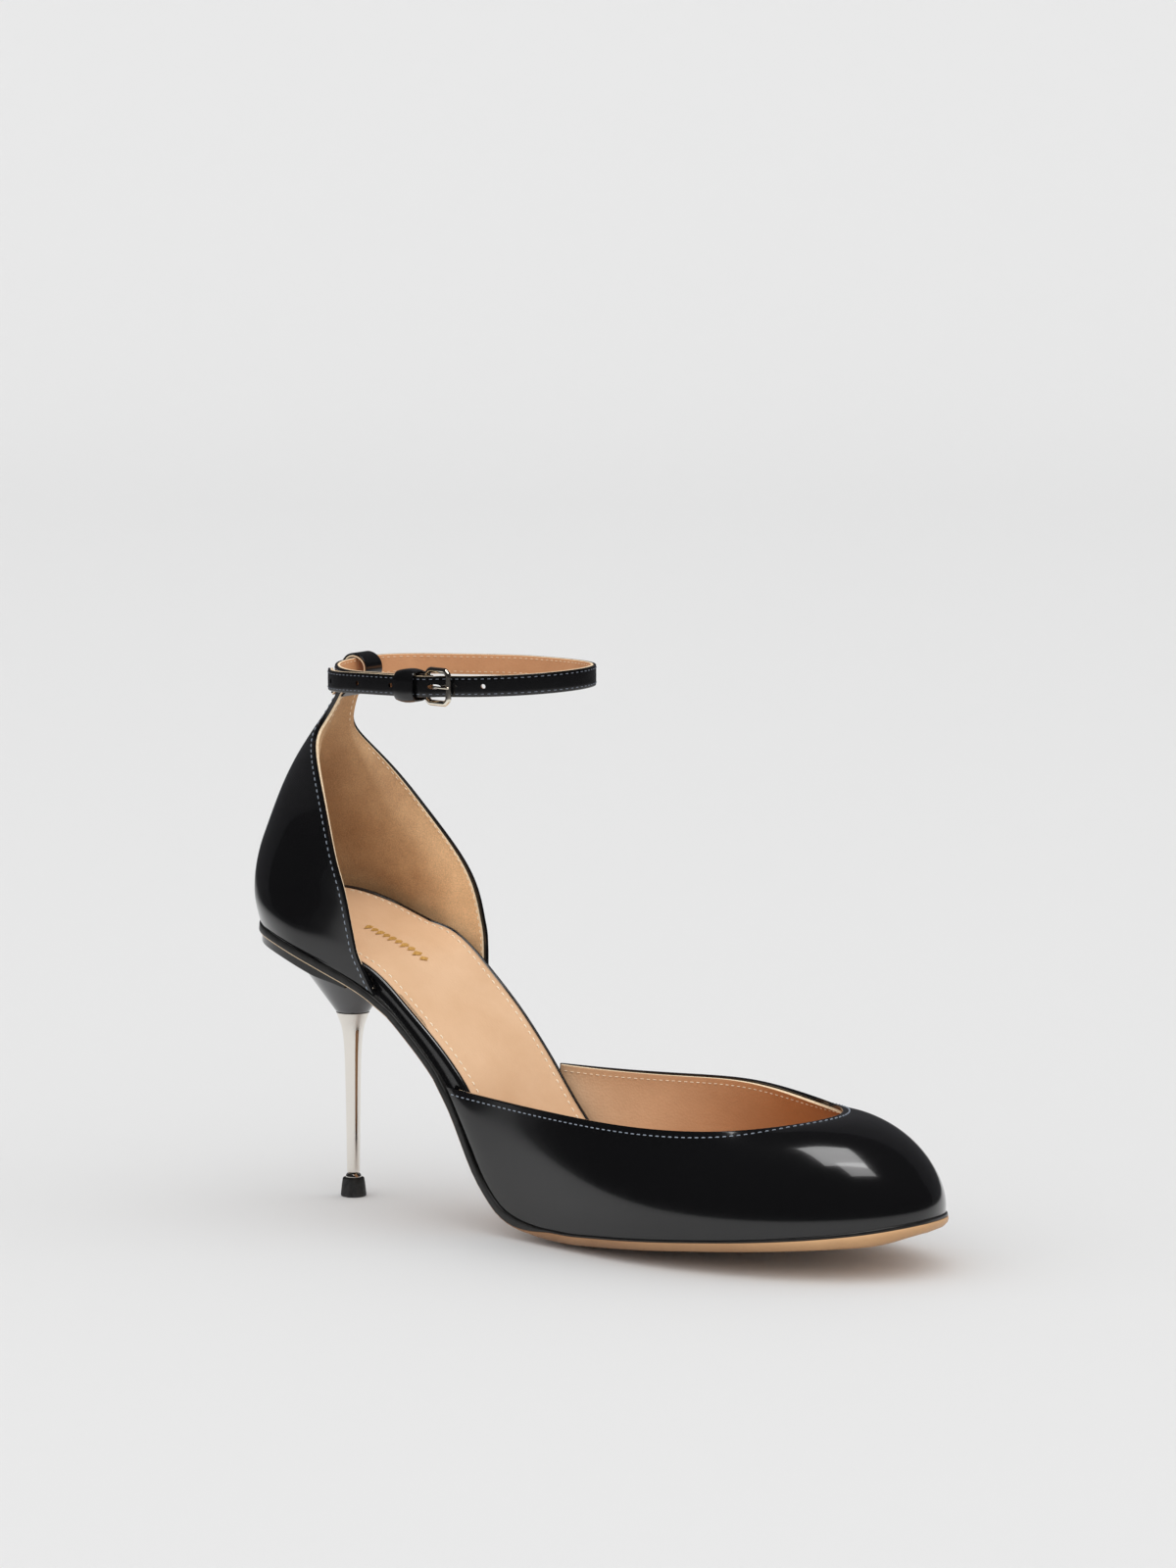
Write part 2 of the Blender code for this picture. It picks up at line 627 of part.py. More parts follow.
def build_upper(parts, finishes):
    outer_depth = OUTER_THICKNESS + LINING_GAP
    stiffener_room = STIFFENER_THICKNESS + LINING_GAP

    quarter, quarter_wall_at = quarter_surface()

    def quarter_wall(across, along):
        side = "lateral" if across < 0.5 else "medial"
        return quarter_wall_at(side, abs(2 * across - 1), along)

    def quarter_depth(across, along):
        return outer_depth + stiffener_room * edge_fade(across, along, 0.12, 0.4)

    columns, rows = QUARTER_COLUMNS, QUARTER_ROWS
    sheet("quarter_outer", quarter, columns, rows + 1, OUTER_THICKNESS, finishes["patent"], parts)
    counter = window(offset_surface(quarter_wall, outer_depth), (4 / columns, 1 - 4 / columns),
                     (1 / rows, 7 / rows))
    sheet("counter_stiffener", counter, columns - 8, 6, STIFFENER_THICKNESS, finishes["stiffener"], parts)
    lining = window(offset_surface(quarter_wall, quarter_depth), (0.0, 1.0), (1 / rows, 1.0))
    sheet("quarter_lining", lining, columns, rows - 1, LINING_THICKNESS, finishes["suede"], parts)

    vamp, vamp_wall, columns = vamp_surface()

    def vamp_depth(across, along):
        near_toe = 1 - ease(0.17, 0.25, abs(across - 0.5))
        return outer_depth + stiffener_room * near_toe * ease(0, 0.35, 1 - along)

    rows = VAMP_ROWS
    sheet("vamp_outer", vamp, columns, rows + 1, OUTER_THICKNESS, finishes["patent"], parts, outwards=-1)
    puff = window(offset_surface(vamp_wall, outer_depth, flip=-1), (15 / columns, 1 - 15 / columns),
                  (1 / rows, 4 / rows))
    sheet("toe_puff", puff, columns - 30, 3, STIFFENER_THICKNESS, finishes["stiffener"], parts, outwards=-1)
    vamp_lining = window(offset_surface(vamp_wall, vamp_depth, flip=-1), (1 / columns, 1 - 1 / columns),
                         (1 / rows, 1.0))
    sheet("vamp_lining", vamp_lining, columns - 2, rows - 1, LINING_THICKNESS, finishes["lining"], parts,
          outwards=-1)


# ---------------------------------------------------------------- heel

def heel_reach(angle):
    """Distance from the pin's axis to the edge of the heel block's top, in a direction."""
    direction = np.array([math.cos(angle), math.sin(angle)])
    side = "lateral" if direction[1] < 0 else "medial"
    reach = 1.0
    while reach < 60.0:
        x, y = direction * reach
        beyond_side = abs(y) > half_width(side, x) - HEEL_SEAT_INSET
        if x > HEEL_BREAST_X or x < SEAT_REAR_X + HEEL_SEAT_INSET or beyond_side:
            break
        reach += 0.1
    return reach


def heel_wall(angle, share, inset):
    """Point of the block's side: from the collar out along the flare, under the slab, then up its rim."""
    reach = heel_reach(angle) - inset
    radius = mix(HEEL_COLLAR_RADIUS - inset, reach, min(share / HEEL_RIM_SHARE, 1.0))
    x, y = radius * math.cos(angle), radius * math.sin(angle)
    soffit = below_sole(x, y, HEEL_SEAT_GAP)
    slab = soffit - HEEL_SLAB
    cone = HEEL_COLLAR_Z + GAP + (radius - HEEL_COLLAR_RADIUS + inset) * HEEL_CONE_SLOPE
    blend = math.exp(-max(min((slab - cone) / HEEL_FILLET, 30), -30))
    low = cone - HEEL_FILLET * math.log(1 + blend) + inset * HEEL_CORE_LIFT * min(share * 3, 1.0)
    up_rim = max(share - HEEL_RIM_SHARE, 0) / (1 - HEEL_RIM_SHARE)
    return Vector((x, y, mix(min(low, soffit - HEEL_LEAST_RIM), soffit, up_rim)))


def heel_core_mesh():
    """A sphere's rings drawn out into the block: wall rings below, rings across the seat above."""
    bm = bmesh.new()
    rings = 14
    bmesh.ops.create_uvsphere(bm, u_segments=24, v_segments=rings, radius=1.0)
    wall_rings = 9
    for vert in bm.verts:
        polar = math.acos(max(-1.0, min(1.0, -vert.co.z)))
        ring = round(polar / math.pi * rings)
        angle = math.atan2(vert.co.y, vert.co.x)
        if ring == 0:
            vert.co = to_metres((0, 0, HEEL_COLLAR_Z + GAP))
        elif ring <= wall_rings:
            vert.co = to_metres(heel_wall(angle, (ring - 1) / (wall_rings - 1), HEEL_CORE_INSET))
        else:
            share = (rings - ring) / (rings - wall_rings)
            reach = (heel_reach(angle) - HEEL_CORE_INSET) * share
            x, y = reach * math.cos(angle), reach * math.sin(angle)
            vert.co = to_metres((x, y, below_sole(x, y, HEEL_SEAT_GAP)))
    return mesh_from(bm, "heel_core")


def heel_cover_surface(across, along):
    angle = 2 * math.pi * across
    return heel_wall(angle, along, 0.0)


def build_heel(parts, cutters, finishes, outsole, board):
    core = add_object("heel_core", heel_core_mesh(), finishes["core"], parts)
    sheet("heel_cover", heel_cover_surface, 24, 8, HEEL_COVER_THICKNESS, finishes["patent"], parts,
          outwards=-1)

    bore = DOWEL_RADIUS + GAP
    pin_end = PIN_PROFILE[-1][1]
    bore_top = DOWEL_TOP_Z + 1.0
    turned("heel_pin", [(0, PIN_DOWEL_TOP_Z), (PIN_DOWEL_RADIUS, PIN_DOWEL_TOP_Z),
                        (PIN_DOWEL_RADIUS, HEEL_COLLAR_Z)] + PIN_PROFILE
           + [(bore, pin_end), (bore, bore_top), (0, bore_top)], finishes["pin"], parts, steps=20)
    turned("heel_ferrule", [(FERRULE_RADIUS, FERRULE_TOP_Z), (FERRULE_RADIUS, TIP_HEIGHT + GAP),
                            (bore, TIP_HEIGHT + GAP), (bore, FERRULE_TOP_Z)], finishes["pin"], parts,
           steps=16)
    turned("heel_tip", [(0, DOWEL_BOTTOM_Z - GAP), (bore, DOWEL_BOTTOM_Z - GAP), (bore, TIP_HEIGHT),
                        (TIP_TOP_RADIUS - 0.3, TIP_HEIGHT), (TIP_TOP_RADIUS, TIP_HEIGHT - 0.4),
                        (TIP_RADIUS, 0.5), (TIP_RADIUS - 0.3, 0.0), (0, 0)],
           finishes["rubber"], parts, steps=20)
    turned("heel_tip_dowel", [(0, DOWEL_TOP_Z), (DOWEL_RADIUS, DOWEL_TOP_Z), (DOWEL_RADIUS, DOWEL_BOTTOM_Z),
                              (0, DOWEL_BOTTOM_Z)], finishes["steel"], parts, steps=12)

    pin_bore = cylinder_cutter("pin_bore", PIN_DOWEL_RADIUS + GAP, (0, 0), HEEL_COLLAR_Z - 5,
                               PIN_DOWEL_TOP_Z + 0.8, cutters, segments=16)
    cut(core, pin_bore)

    places = [("heel_screw", SCREW_POSITION, *SCREW_SIZE)]
    for number, place in enumerate(NAIL_POSITIONS, start=1):
        places.append((f"heel_nail_{number}", place, *NAIL_SIZE))
    for name, place, length, radius, head_radius in places:
        build_fastener(name, place, length, radius, head_radius, parts, cutters, finishes["steel"],
                       (outsole, board, core))


def build_fastener(name, place, length, radius, head_radius, parts, cutters, finish, drilled):
    """A screw or nail, sunk in the insole board and driven down through the outsole into the heel block."""
    board_top = sole_point(*place, BOARD_LEVEL + BOARD_THICKNESS).z
    top = board_top - HEAD_SINK
    turned(name, [(0, top), (head_radius, top), (head_radius, top - HEAD_HEIGHT), (radius, top - HEAD_HEIGHT),
                  (radius, top - length + radius), (0, top - length)], finish, parts, steps=10, centre=place)
    wide, narrow, step = head_radius + GAP, radius + GAP, top - HEAD_HEIGHT - GAP
    hole = turned(name + "_hole", [(0, top + 3), (wide, top + 3), (wide, step), (narrow, step),
                                   (narrow, top - length - GAP), (0, top - length - GAP)],
                  None, cutters, steps=8, centre=place)
    hole.hide_render = True
    hole.display_type = "WIRE"
    for piece in drilled:
        cut(piece, hole)


# ---------------------------------------------------------------- ankle strap and buckle

def ring_middle(turn, lift=0.0):
    """Point of the strap's middle line. turn is in degrees: 0 at the front, 90 on the medial side."""
    half_length = (RING_FRONT_X - RING_REAR_X) / 2
    centre_x = (RING_FRONT_X + RING_REAR_X) / 2

    def plan(degrees):
        c, s = math.cos(math.radians(degrees)), math.sin(math.radians(degrees))
        power = RING_REAR_POWER if c < 0 else 2.0
        x = math.copysign(abs(c) ** (2 / power), c)
        y = math.copysign(abs(s) ** (2 / power), s)
        return np.array([centre_x + half_length * x, RING_CENTRE_Y + RING_HALF_WIDTH * y])

    point = plan(turn)
    along = plan(turn + 0.5) - plan(turn - 0.5)
    along = along / np.linalg.norm(along)
    outwards = np.array([along[1], -along[0]])
    height = (RING_HEIGHT + 0.35 * math.cos(math.radians(turn)) + 0.4 * math.sin(math.radians(turn))
              + 0.6 * math.cos(math.radians(2 * turn)))
    place = point + outwards * lift
    return Vector((place[0], place[1], height)), Vector((*outwards, 0)), Vector((*along, 0))


def lateral_turn(x):
    """Turn on the lateral side, in degrees below zero, where the ring's middle line is at x."""
    turns = np.linspace(0, -180, 1441)
    return float(np.interp(-x, [-ring_middle(t)[0].x for t in turns], turns))


def strap_lift(turn, bar_turn):
    """How far outside the ring's middle line the strap runs; turn falls from the bar round to the tail."""
    passed = bar_turn - 360 - turn
    climb = ease(-10.0, 0.0, passed)
    settle = ease(18.0, 40.0, passed)
    return TAIL_LIFT * climb + (TAIL_REST_LIFT - TAIL_LIFT) * settle


def strap_band(depth_in, depth_out):
    """A box section swept along the strap from the bar round to the tail's end."""
    bar_turn = lateral_turn(BAR_X)
    first = bar_turn - STRAP_START_TURN
    last = lateral_turn(TAIL_END_X) - 360
    steps = 60
    bm = bmesh.new()
    rings = []
    for i in range(steps + 1):
        turn = mix(first, last, i / steps)
        lift = strap_lift(turn, bar_turn)
        middle, outwards, _ = ring_middle(turn, lift)
        half = STRAP_WIDTH / 2
        section = ((depth_in, -half), (depth_out, -half), (depth_out, half), (depth_in, half))
        corners = [middle + outwards * depth + Vector((0, 0, z)) for depth, z in section]
        rings.append([bm.verts.new(to_metres(c)) for c in corners])
    for lower, upper in zip(rings, rings[1:]):
        for k in range(4):
            bm.faces.new((lower[k], lower[(k + 1) % 4], upper[(k + 1) % 4], upper[k]))
    bm.faces.new(rings[0])
    bm.faces.new(list(reversed(rings[-1])))
    bmesh.ops.recalc_face_normals(bm, faces=bm.faces)
    return bm


def strap_hole(name, turn, lift, cutters, stretch):
    middle, outwards, along = ring_middle(turn, lift)
    bm = bmesh.new()
    bmesh.ops.create_cone(bm, cap_ends=True, segments=10, radius1=HOLE_RADIUS * MM, radius2=HOLE_RADIUS * MM,
                          depth=5 * MM)
    turn_to = Matrix((along * stretch, Vector((0, 0, 1)), outwards)).transposed().to_4x4()
    bm.transform(turn_to)
    if turn_to.determinant() < 0:
        bmesh.ops.reverse_faces(bm, faces=bm.faces)
    return add_cutter(name, bm, cutters, Matrix.Translation(to_metres(middle)))


def build_strap(parts, cutters, finishes):
    pivot = (RING_REAR_X, 0, ring_middle(-180)[0].z)
    inner_face = STRAP_HALF_THICKNESS
    outer_band = strap_band(inner_face - STRAP_LAYER, inner_face)
    outer = add_object("strap_outer", mesh_from(outer_band, "strap_outer"), finishes["patent"], parts, pivot)
    lining_band = strap_band(-inner_face, -inner_face + STRAP_LAYER)
    lining = add_object("strap_lining", mesh_from(lining_band, "strap_lining"), finishes["lining"], parts,
                        pivot)
    bar_turn = lateral_turn(BAR_X)
    for number in range(HOLE_COUNT):
        x = PRONG_HOLE_X + (1 - number) * HOLE_SPACING
        turn = lateral_turn(x) - 360
        stretch = PRONG_HOLE_STRETCH if number == 1 else 1.0
        hole = strap_hole(f"strap_hole_{number + 1}", turn, strap_lift(turn, bar_turn), cutters, stretch)
        cut(outer, hole)
        cut(lining, hole)


def loop_surface(across, along):
    angle = 2 * math.pi * across
    radius = LOOP_BORE_RADIUS + LOOP_WALL
    centre_z = ring_middle(-180)[0].z
    return Vector((RING_REAR_X + radius * math.cos(angle), mix(-LOOP_HALF_LENGTH, LOOP_HALF_LENGTH, along),
                   centre_z + radius * math.sin(angle)))


def strap_placement(x, lift=0.0):
    """Placement on the strap's lateral side at x: local +X rearwards along the strap, +Y outwards, +Z up."""
    middle, outwards, along = ring_middle(lateral_turn(x), lift)
    axes = Matrix((-along, outwards, Vector((0, 0, 1)))).transposed().to_4x4()
    return Matrix.Translation(to_metres(middle)) @ axes


def wire_object(name, points, radius, closed, finish, collection, placement, resolution=2):
    """A round wire as a bevelled curve, turned into a mesh with welded caps."""
    data = bpy.data.curves.new(name, "CURVE")
    data.dimensions = "3D"
    data.bevel_depth = radius * MM
    data.bevel_resolution = resolution
    data.use_fill_caps = not closed
    spline = data.splines.new("POLY")
    spline.points.add(len(points) - 1)
    for slot, point in zip(spline.points, points):
        slot.co = (*to_metres(point), 1.0)
    spline.use_cyclic_u = closed
    guide = bpy.data.objects.new(name + "_guide", data)
    bpy.context.scene.collection.objects.link(guide)
    bpy.context.view_layer.update()
    mesh = bpy.data.meshes.new_from_object(guide.evaluated_get(bpy.context.evaluated_depsgraph_get()))
    bm = bmesh.new()
    bm.from_mesh(mesh)
    bmesh.ops.remove_doubles(bm, verts=bm.verts, dist=1e-6)
    bmesh.ops.recalc_face_normals(bm, faces=bm.faces)
    bm.to_mesh(mesh)
    bm.free()
    bpy.data.objects.remove(guide)
    mesh.materials.clear()
    item = add_object(name, mesh, finish, collection)
    item.matrix_world = placement
    return item


def build_buckle(parts, finishes):
    placement = strap_placement(BAR_X)
    strap_face = STRAP_HALF_THICKNESS
    rail_lift = strap_face + GAP + FRAME_WIRE
    half = FRAME_HEIGHT / 2
    corner = FRAME_CORNER
    outline = [(0, -half + corner), (corner, -half), (FRAME_LENGTH - corner, -half),
               (FRAME_LENGTH, -half + corner), (FRAME_LENGTH, half - corner), (FRAME_LENGTH - corner, half),
               (corner, half), (0, half - corner)]
    points = [(-x, rail_lift * x / FRAME_LENGTH, z) for x, z in outline]
    wire_object("buckle_frame", points, FRAME_WIRE, True, finishes["buckle"], parts, placement)

    ring = FRAME_WIRE + GAP + PRONG_RADIUS
    tip_lift = rail_lift + FRAME_WIRE + GAP + PRONG_RADIUS
    curl = [(-ring * math.cos(math.radians(a)), ring * math.sin(math.radians(a)), 0)
            for a in PRONG_CURL_DEGREES]
    path = curl + [(-ring, ring + 0.1, 0), (-FRAME_LENGTH * 0.6, mix(ring, tip_lift, 0.62), 0),
                   (-FRAME_LENGTH - PRONG_REACH, tip_lift, 0)]
    wire_object("buckle_prong", path, PRONG_RADIUS, False, finishes["buckle"], parts, placement)


def build_keeper(parts, finishes):
    inner_low = -STRAP_HALF_THICKNESS - KEEPER_ROOM[0]
    inner_high = TAIL_LIFT + STRAP_HALF_THICKNESS + KEEPER_ROOM[1]
    inner_height = STRAP_WIDTH + KEEPER_ROOM[2]
    half_depth, half_height = (inner_high - inner_low) / 2, inner_height / 2

    def sleeve(across, along):
        """Runs once round a box with soft corners."""
        angle = 2 * math.pi * across
        c, v = math.cos(angle), math.sin(angle)
        y = math.copysign(abs(c) ** (2 / KEEPER_CORNER_POWER), c) * half_depth
        z = math.copysign(abs(v) ** (2 / KEEPER_CORNER_POWER), v) * half_height
        return mix(-KEEPER_LENGTH, KEEPER_LENGTH, along) / 2, y, z

    keeper = sheet("strap_keeper", sleeve, 16, 1, KEEPER_WALL, finishes["patent"], parts)
    keeper.matrix_world = strap_placement(KEEPER_X, (inner_low + inner_high) / 2)


def main():
    for item in list(bpy.data.objects):
        bpy.data.objects.remove(item, do_unlink=True)
    parts = collection_named("high_heel_pump")
    cutters = collection_named("cutters")
    finishes = {
        "patent": material("patent", (0.004, 0.004, 0.005), 0.06),
        "lining": material("lining", (0.55, 0.28, 0.13), 0.55),
        "suede": material("suede", (0.48, 0.28, 0.12), 0.8),
        "sock": material("sock", (0.66, 0.42, 0.24), 0.5),
        "outsole": material("outsole", (0.50, 0.27, 0.13), 0.5),
        "board": material("board", (0.35, 0.22, 0.13), 0.85),
        "foam": material("foam", (0.75, 0.70, 0.62), 0.95),
        "filler": material("filler", (0.20, 0.13, 0.08), 0.9),
        "stiffener": material("stiffener", (0.62, 0.55, 0.42), 0.9),
        "core": material("core", (0.05, 0.05, 0.05), 0.5),
        "pin": material("pin", (0.80, 0.78, 0.74), 0.12, 1.0),
        "steel": material("steel", (0.55, 0.55, 0.56), 0.35, 1.0),
        "buckle": material("buckle", (0.85, 0.82, 0.76), 0.15, 1.0),
        "rubber": material("rubber", (0.01, 0.01, 0.01), 0.7),
    }
    outsole, board = build_sole(parts, finishes)
    build_bindings(parts, finishes)
    build_upper(parts, finishes)
    build_heel(parts, cutters, finishes, outsole, board)
    build_strap(parts, cutters, finishes)
    sheet("strap_loop", loop_surface, 20, 1, LOOP_WALL, finishes["patent"], parts, outwards=1)
    build_buckle(parts, finishes)
    build_keeper(parts, finishes)
    bpy.context.view_layer.update()


main()
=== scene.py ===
"""Looks of the high heel pump: fine leather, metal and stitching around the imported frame.

Lengths in this file are millimetres unless a name ends in _m. The frame's axes are +X to the toe,
+Y to the inner side and +Z up, with the origin under the heel tip.
"""

import json
import math

import bmesh
import bpy
import numpy as np
from mathutils import Matrix, Vector


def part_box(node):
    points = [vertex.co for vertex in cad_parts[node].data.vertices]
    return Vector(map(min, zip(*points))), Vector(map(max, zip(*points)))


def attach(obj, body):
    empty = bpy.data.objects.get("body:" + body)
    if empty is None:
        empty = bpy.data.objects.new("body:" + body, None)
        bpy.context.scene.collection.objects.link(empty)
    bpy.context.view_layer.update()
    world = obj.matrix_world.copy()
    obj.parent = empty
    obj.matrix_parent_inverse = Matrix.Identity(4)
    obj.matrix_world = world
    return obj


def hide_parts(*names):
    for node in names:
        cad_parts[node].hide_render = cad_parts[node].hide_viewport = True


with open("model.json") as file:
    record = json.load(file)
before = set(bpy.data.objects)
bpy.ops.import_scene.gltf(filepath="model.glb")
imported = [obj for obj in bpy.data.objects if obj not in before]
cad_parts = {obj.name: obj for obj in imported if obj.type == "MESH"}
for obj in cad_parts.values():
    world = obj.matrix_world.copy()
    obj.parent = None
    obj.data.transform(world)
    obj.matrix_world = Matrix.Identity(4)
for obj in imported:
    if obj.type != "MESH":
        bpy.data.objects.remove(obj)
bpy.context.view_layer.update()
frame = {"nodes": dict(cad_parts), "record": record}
nodes = frame["nodes"]

MM = 0.001
M_TO_MM = 1000.0
SIDES = ("lateral", "medial")
SIDE_SIGN = {"lateral": -1, "medial": 1}

# Plan of the sole
SEAT_REAR_X = -29.0
TOE_TIP_X = 203.0
SEAT_HALF_WIDTH = 25.0
SEAT_STRAIGHT_END_X = 3.0
WAIST_X = {"lateral": 52.0, "medial": 66.0}
WAIST_HALF_WIDTH = {"lateral": 24.6, "medial": 22.2}
BALL_X = {"lateral": 135.0, "medial": 147.0}
BALL_HALF_WIDTH = {"lateral": 37.0, "medial": 36.4}

OUTSOLE_THICKNESS = 2.2
SEAT_CUP = 0.6
TREAD_CUP = 2.4
TREAD_EDGE_Z = OUTSOLE_THICKNESS + TREAD_CUP
CUP_FLAT_SHARE = 1 / 3

# Height of the feather line: (x, z)
FEATHER = {
    "lateral": [(-29, 81.0), (-15, 79.4), (12, 71.0), (26, 65.0), (40, 53.4), (53, 38.8), (66, 15.6),
                (75, 7.4), (83, 5.2), (90, TREAD_EDGE_Z), (98, TREAD_EDGE_Z), (113, 5.6), (145, 8.4),
                (177, 11.4), (192, 13.3), (203, 15.2)],
    "medial": [(-29, 81.6), (-15, 80.6), (8, 75.0), (22, 69.6), (40, 56.4), (60, 36.0), (80, 14.0),
               (86, 8.8), (92, 5.4), (98, TREAD_EDGE_Z), (113, TREAD_EDGE_Z), (145, 8.2), (177, 11.4),
               (192, 13.3), (203, 15.2)],
}
OPEN_WAIST = {"lateral": (28.0, 53.0), "medial": (33.5, 59.5)}
OPEN_WAIST_INSET = 0.9
SEAT_LINE_END_X = 30.0
COUNTER_RISE = 1.8
SEAT_TILT = 1.9
PAINT_ENDS_X = {"lateral": (76.0, 96.0), "medial": (82.0, 102.0)}

# Levels above the outsole and distances inside its edge
UPPER_LEVEL = 0.2
UPPER_INSET = 0.6
SOCK_LEVEL = 6.1
RIM_OPEN_X = {"lateral": (6.0, 70.0), "medial": (12.0, 76.0)}
CUSHION_RISE = 1.6
CUSHION_FRONT_X = 24.0

OUTER_THICKNESS = 1.0
LINING_THICKNESS = 0.8
LINING_DEPTH = OUTER_THICKNESS + 0.06
HIDDEN_ROOM = 1.9           # stiffener and puff between the outer leather and the lining

# Quarter: front edges and back seam, level by level: (x, y, z)
QUARTER_FRONT = {
    "lateral": [(26.5, -24.6, 65.0), (21.9, -25.2, 74.0), (19.3, -25.6, 83.0), (16.4, -25.4, 94.0),
                (12.4, -24.4, 103.0), (7.0, -21.8, 115.5), (0.8, -17.6, 126.5), (-5.4, -11.2, 135.8),
                (-4.6, -6.6, 142.6), (0.2, -4.4, 152.4)],
    "medial": [(32.0, 24.0, 66.8), (31.2, 24.6, 75.0), (29.2, 25.2, 83.5), (25.6, 25.2, 93.5),
               (18.6, 24.4, 103.5), (10.6, 22.2, 113.5), (2.4, 17.8, 124.8), (-4.2, 11.6, 134.4),
               (-4.4, 6.6, 141.6), (0.2, 4.4, 152.4)],
}
QUARTER_BACK = [(-28.2, 0, 81.3), (-29.6, 0, 88.0), (-30.4, 0, 95.0), (-29.4, 0, 103.0),
                (-27.4, 0, 109.5), (-24.0, 0, 119.0), (-18.6, 0, 129.0), (-11.8, 0, 138.0),
                (-7.4, 0, 143.6), (-1.2, 0, 152.4)]

# Vamp: stations on the sole's outline (x) and on the topline (x, y, z)
VAMP_STATIONS = [
    ("lateral", 52.5, (52.7, -24.2, 41.0)), ("lateral", 75.0, (75.0, -26.2, 39.3)),
    ("lateral", 101.0, (100.0, -29.4, 38.2)), ("lateral", 129.0, (125.0, -29.8, 37.6)),
    ("lateral", 157.0, (147.0, -24.6, 38.2)), ("lateral", 186.0, (163.5, -12.0, 40.0)),
    ("toe", 203.0, (168.6, 2.0, 41.0)),
    ("medial", 187.0, (160.5, 16.4, 40.8)), ("medial", 161.0, (143.5, 25.4, 41.4)),
    ("medial", 131.0, (122.0, 29.6, 42.8)), ("medial", 100.0, (97.5, 29.4, 42.2)),
    ("medial", 77.0, (76.5, 25.6, 42.0)), ("medial", 59.0, (59.5, 22.0, 42.4)),
]
VAMP_BULGE = 1.6


# ---------------------------------------------------------------- numbers

def ease(start, end, value):
    t = min(max((value - start) / (end - start), 0.0), 1.0)
    return t * t * (3 - 2 * t)


def mix(a, b, share):
    return a + (b - a) * share


def unit(vector):
    return vector / np.linalg.norm(vector)


def lengths_along(points):
    """Distances along a path from its first point to each of its points."""
    return np.r_[0, np.cumsum(np.linalg.norm(np.diff(points, axis=0), axis=1))]


def interpolate(distance, lengths, table):
    return np.array([np.interp(distance, lengths, column) for column in table.T])


def sample(surface, columns, rows):
    return [[tuple(surface(i / columns, j / rows)) for j in range(rows + 1)] for i in range(columns + 1)]


def curve_through(knots, values):
    """A smooth function through values at knots, with no overshoot between equal neighbours."""
    knots = np.asarray(knots, float)
    values = np.asarray(values, float)
    if values.ndim == 1:
        values = values[:, None]
    slopes = np.diff(values, axis=0) / np.diff(knots)[:, None]
    tangents = np.zeros_like(values)
    tangents[0], tangents[-1] = slopes[0], slopes[-1]
    before, after = slopes[:-1], slopes[1:]
    with np.errstate(divide="ignore", invalid="ignore"):
        harmonic = 2 * before * after / (before + after)
    tangents[1:-1] = np.where(before * after > 0, harmonic, 0.0)

    def value_at(t):
        i = int(np.clip(np.searchsorted(knots, t) - 1, 0, len(knots) - 2))
        h = knots[i + 1] - knots[i]
        u = float(np.clip((t - knots[i]) / h, 0.0, 1.0))
        point = ((2 * u**3 - 3 * u**2 + 1) * values[i] + (u**3 - 2 * u**2 + u) * h * tangents[i]
                 + (3 * u**2 - 2 * u**3) * values[i + 1] + (u**3 - u**2) * h * tangents[i + 1])
        return point if len(point) > 1 else float(point[0])

    return value_at


def spline_through(knots, values):
    """A twice-smooth function through values at uneven knots."""
    knots = np.asarray(knots, float)
    values = np.asarray(values, float)
    gaps = np.diff(knots)
    system = np.eye(len(knots))
    right = np.zeros_like(values)
    for i in range(1, len(knots) - 1):
        system[i, i - 1:i + 2] = (gaps[i - 1], 2 * (gaps[i - 1] + gaps[i]), gaps[i])
        right[i] = 6 * ((values[i + 1] - values[i]) / gaps[i] - (values[i] - values[i - 1]) / gaps[i - 1])
    bends = np.linalg.solve(system, right)

    def at(t):
        i = int(np.clip(np.searchsorted(knots, t) - 1, 0, len(knots) - 2))
        h, a, b = gaps[i], knots[i + 1] - t, t - knots[i]
        return ((bends[i] * a**3 + bends[i + 1] * b**3) / (6 * h) + (values[i] / h - bends[i] * h / 6) * a
                + (values[i + 1] / h - bends[i + 1] * h / 6) * b)

    return at


def smooth_curve(points):
    """A twice-smooth curve through points, as a function of a share from 0 to 1."""
    return spline_through(np.linspace(0, 1, len(points)), points)


class Patch:
    """A surface through a coarse grid of samples, smooth enough for mirror-like leather."""

    def __init__(self, surface, columns, rows):
        self.samples = np.array(sample(surface, columns, rows))
        self.weights = [smooth_curve(np.eye(count + 1)) for count in (columns, rows)]

    def grid(self, us, vs):
        across = np.array([self.weights[0](u) for u in us])
        along = np.array([self.weights[1](v) for v in vs])
        return np.einsum("ai,bj,ijk->abk", across, along, self.samples)

    def normals(self, us, vs, step=2e-3):
        us, vs = np.asarray(us, float), np.asarray(vs, float)
        du = self.grid(np.clip(us + step, 0, 1), vs) - self.grid(np.clip(us - step, 0, 1), vs)
        dv = self.grid(us, np.clip(vs + step, 0, 1)) - self.grid(us, np.clip(vs - step, 0, 1))
        across = np.cross(du, dv)
        return across / np.maximum(np.linalg.norm(across, axis=2, keepdims=True), 1e-12)

    def point(self, u, v):
        return self.grid([u], [v])[0, 0]

    def normal(self, u, v):
        return self.normals([u], [v])[0, 0]


# ---------------------------------------------------------------- sole surface

TABLE_STEPS_PER_MM = 20
TABLE_X = np.linspace(SEAT_REAR_X, TOE_TIP_X, int((TOE_TIP_X - SEAT_REAR_X) * TABLE_STEPS_PER_MM) + 1)
END_MARGIN = 0.05           # the sole's width falls to nothing at both ends


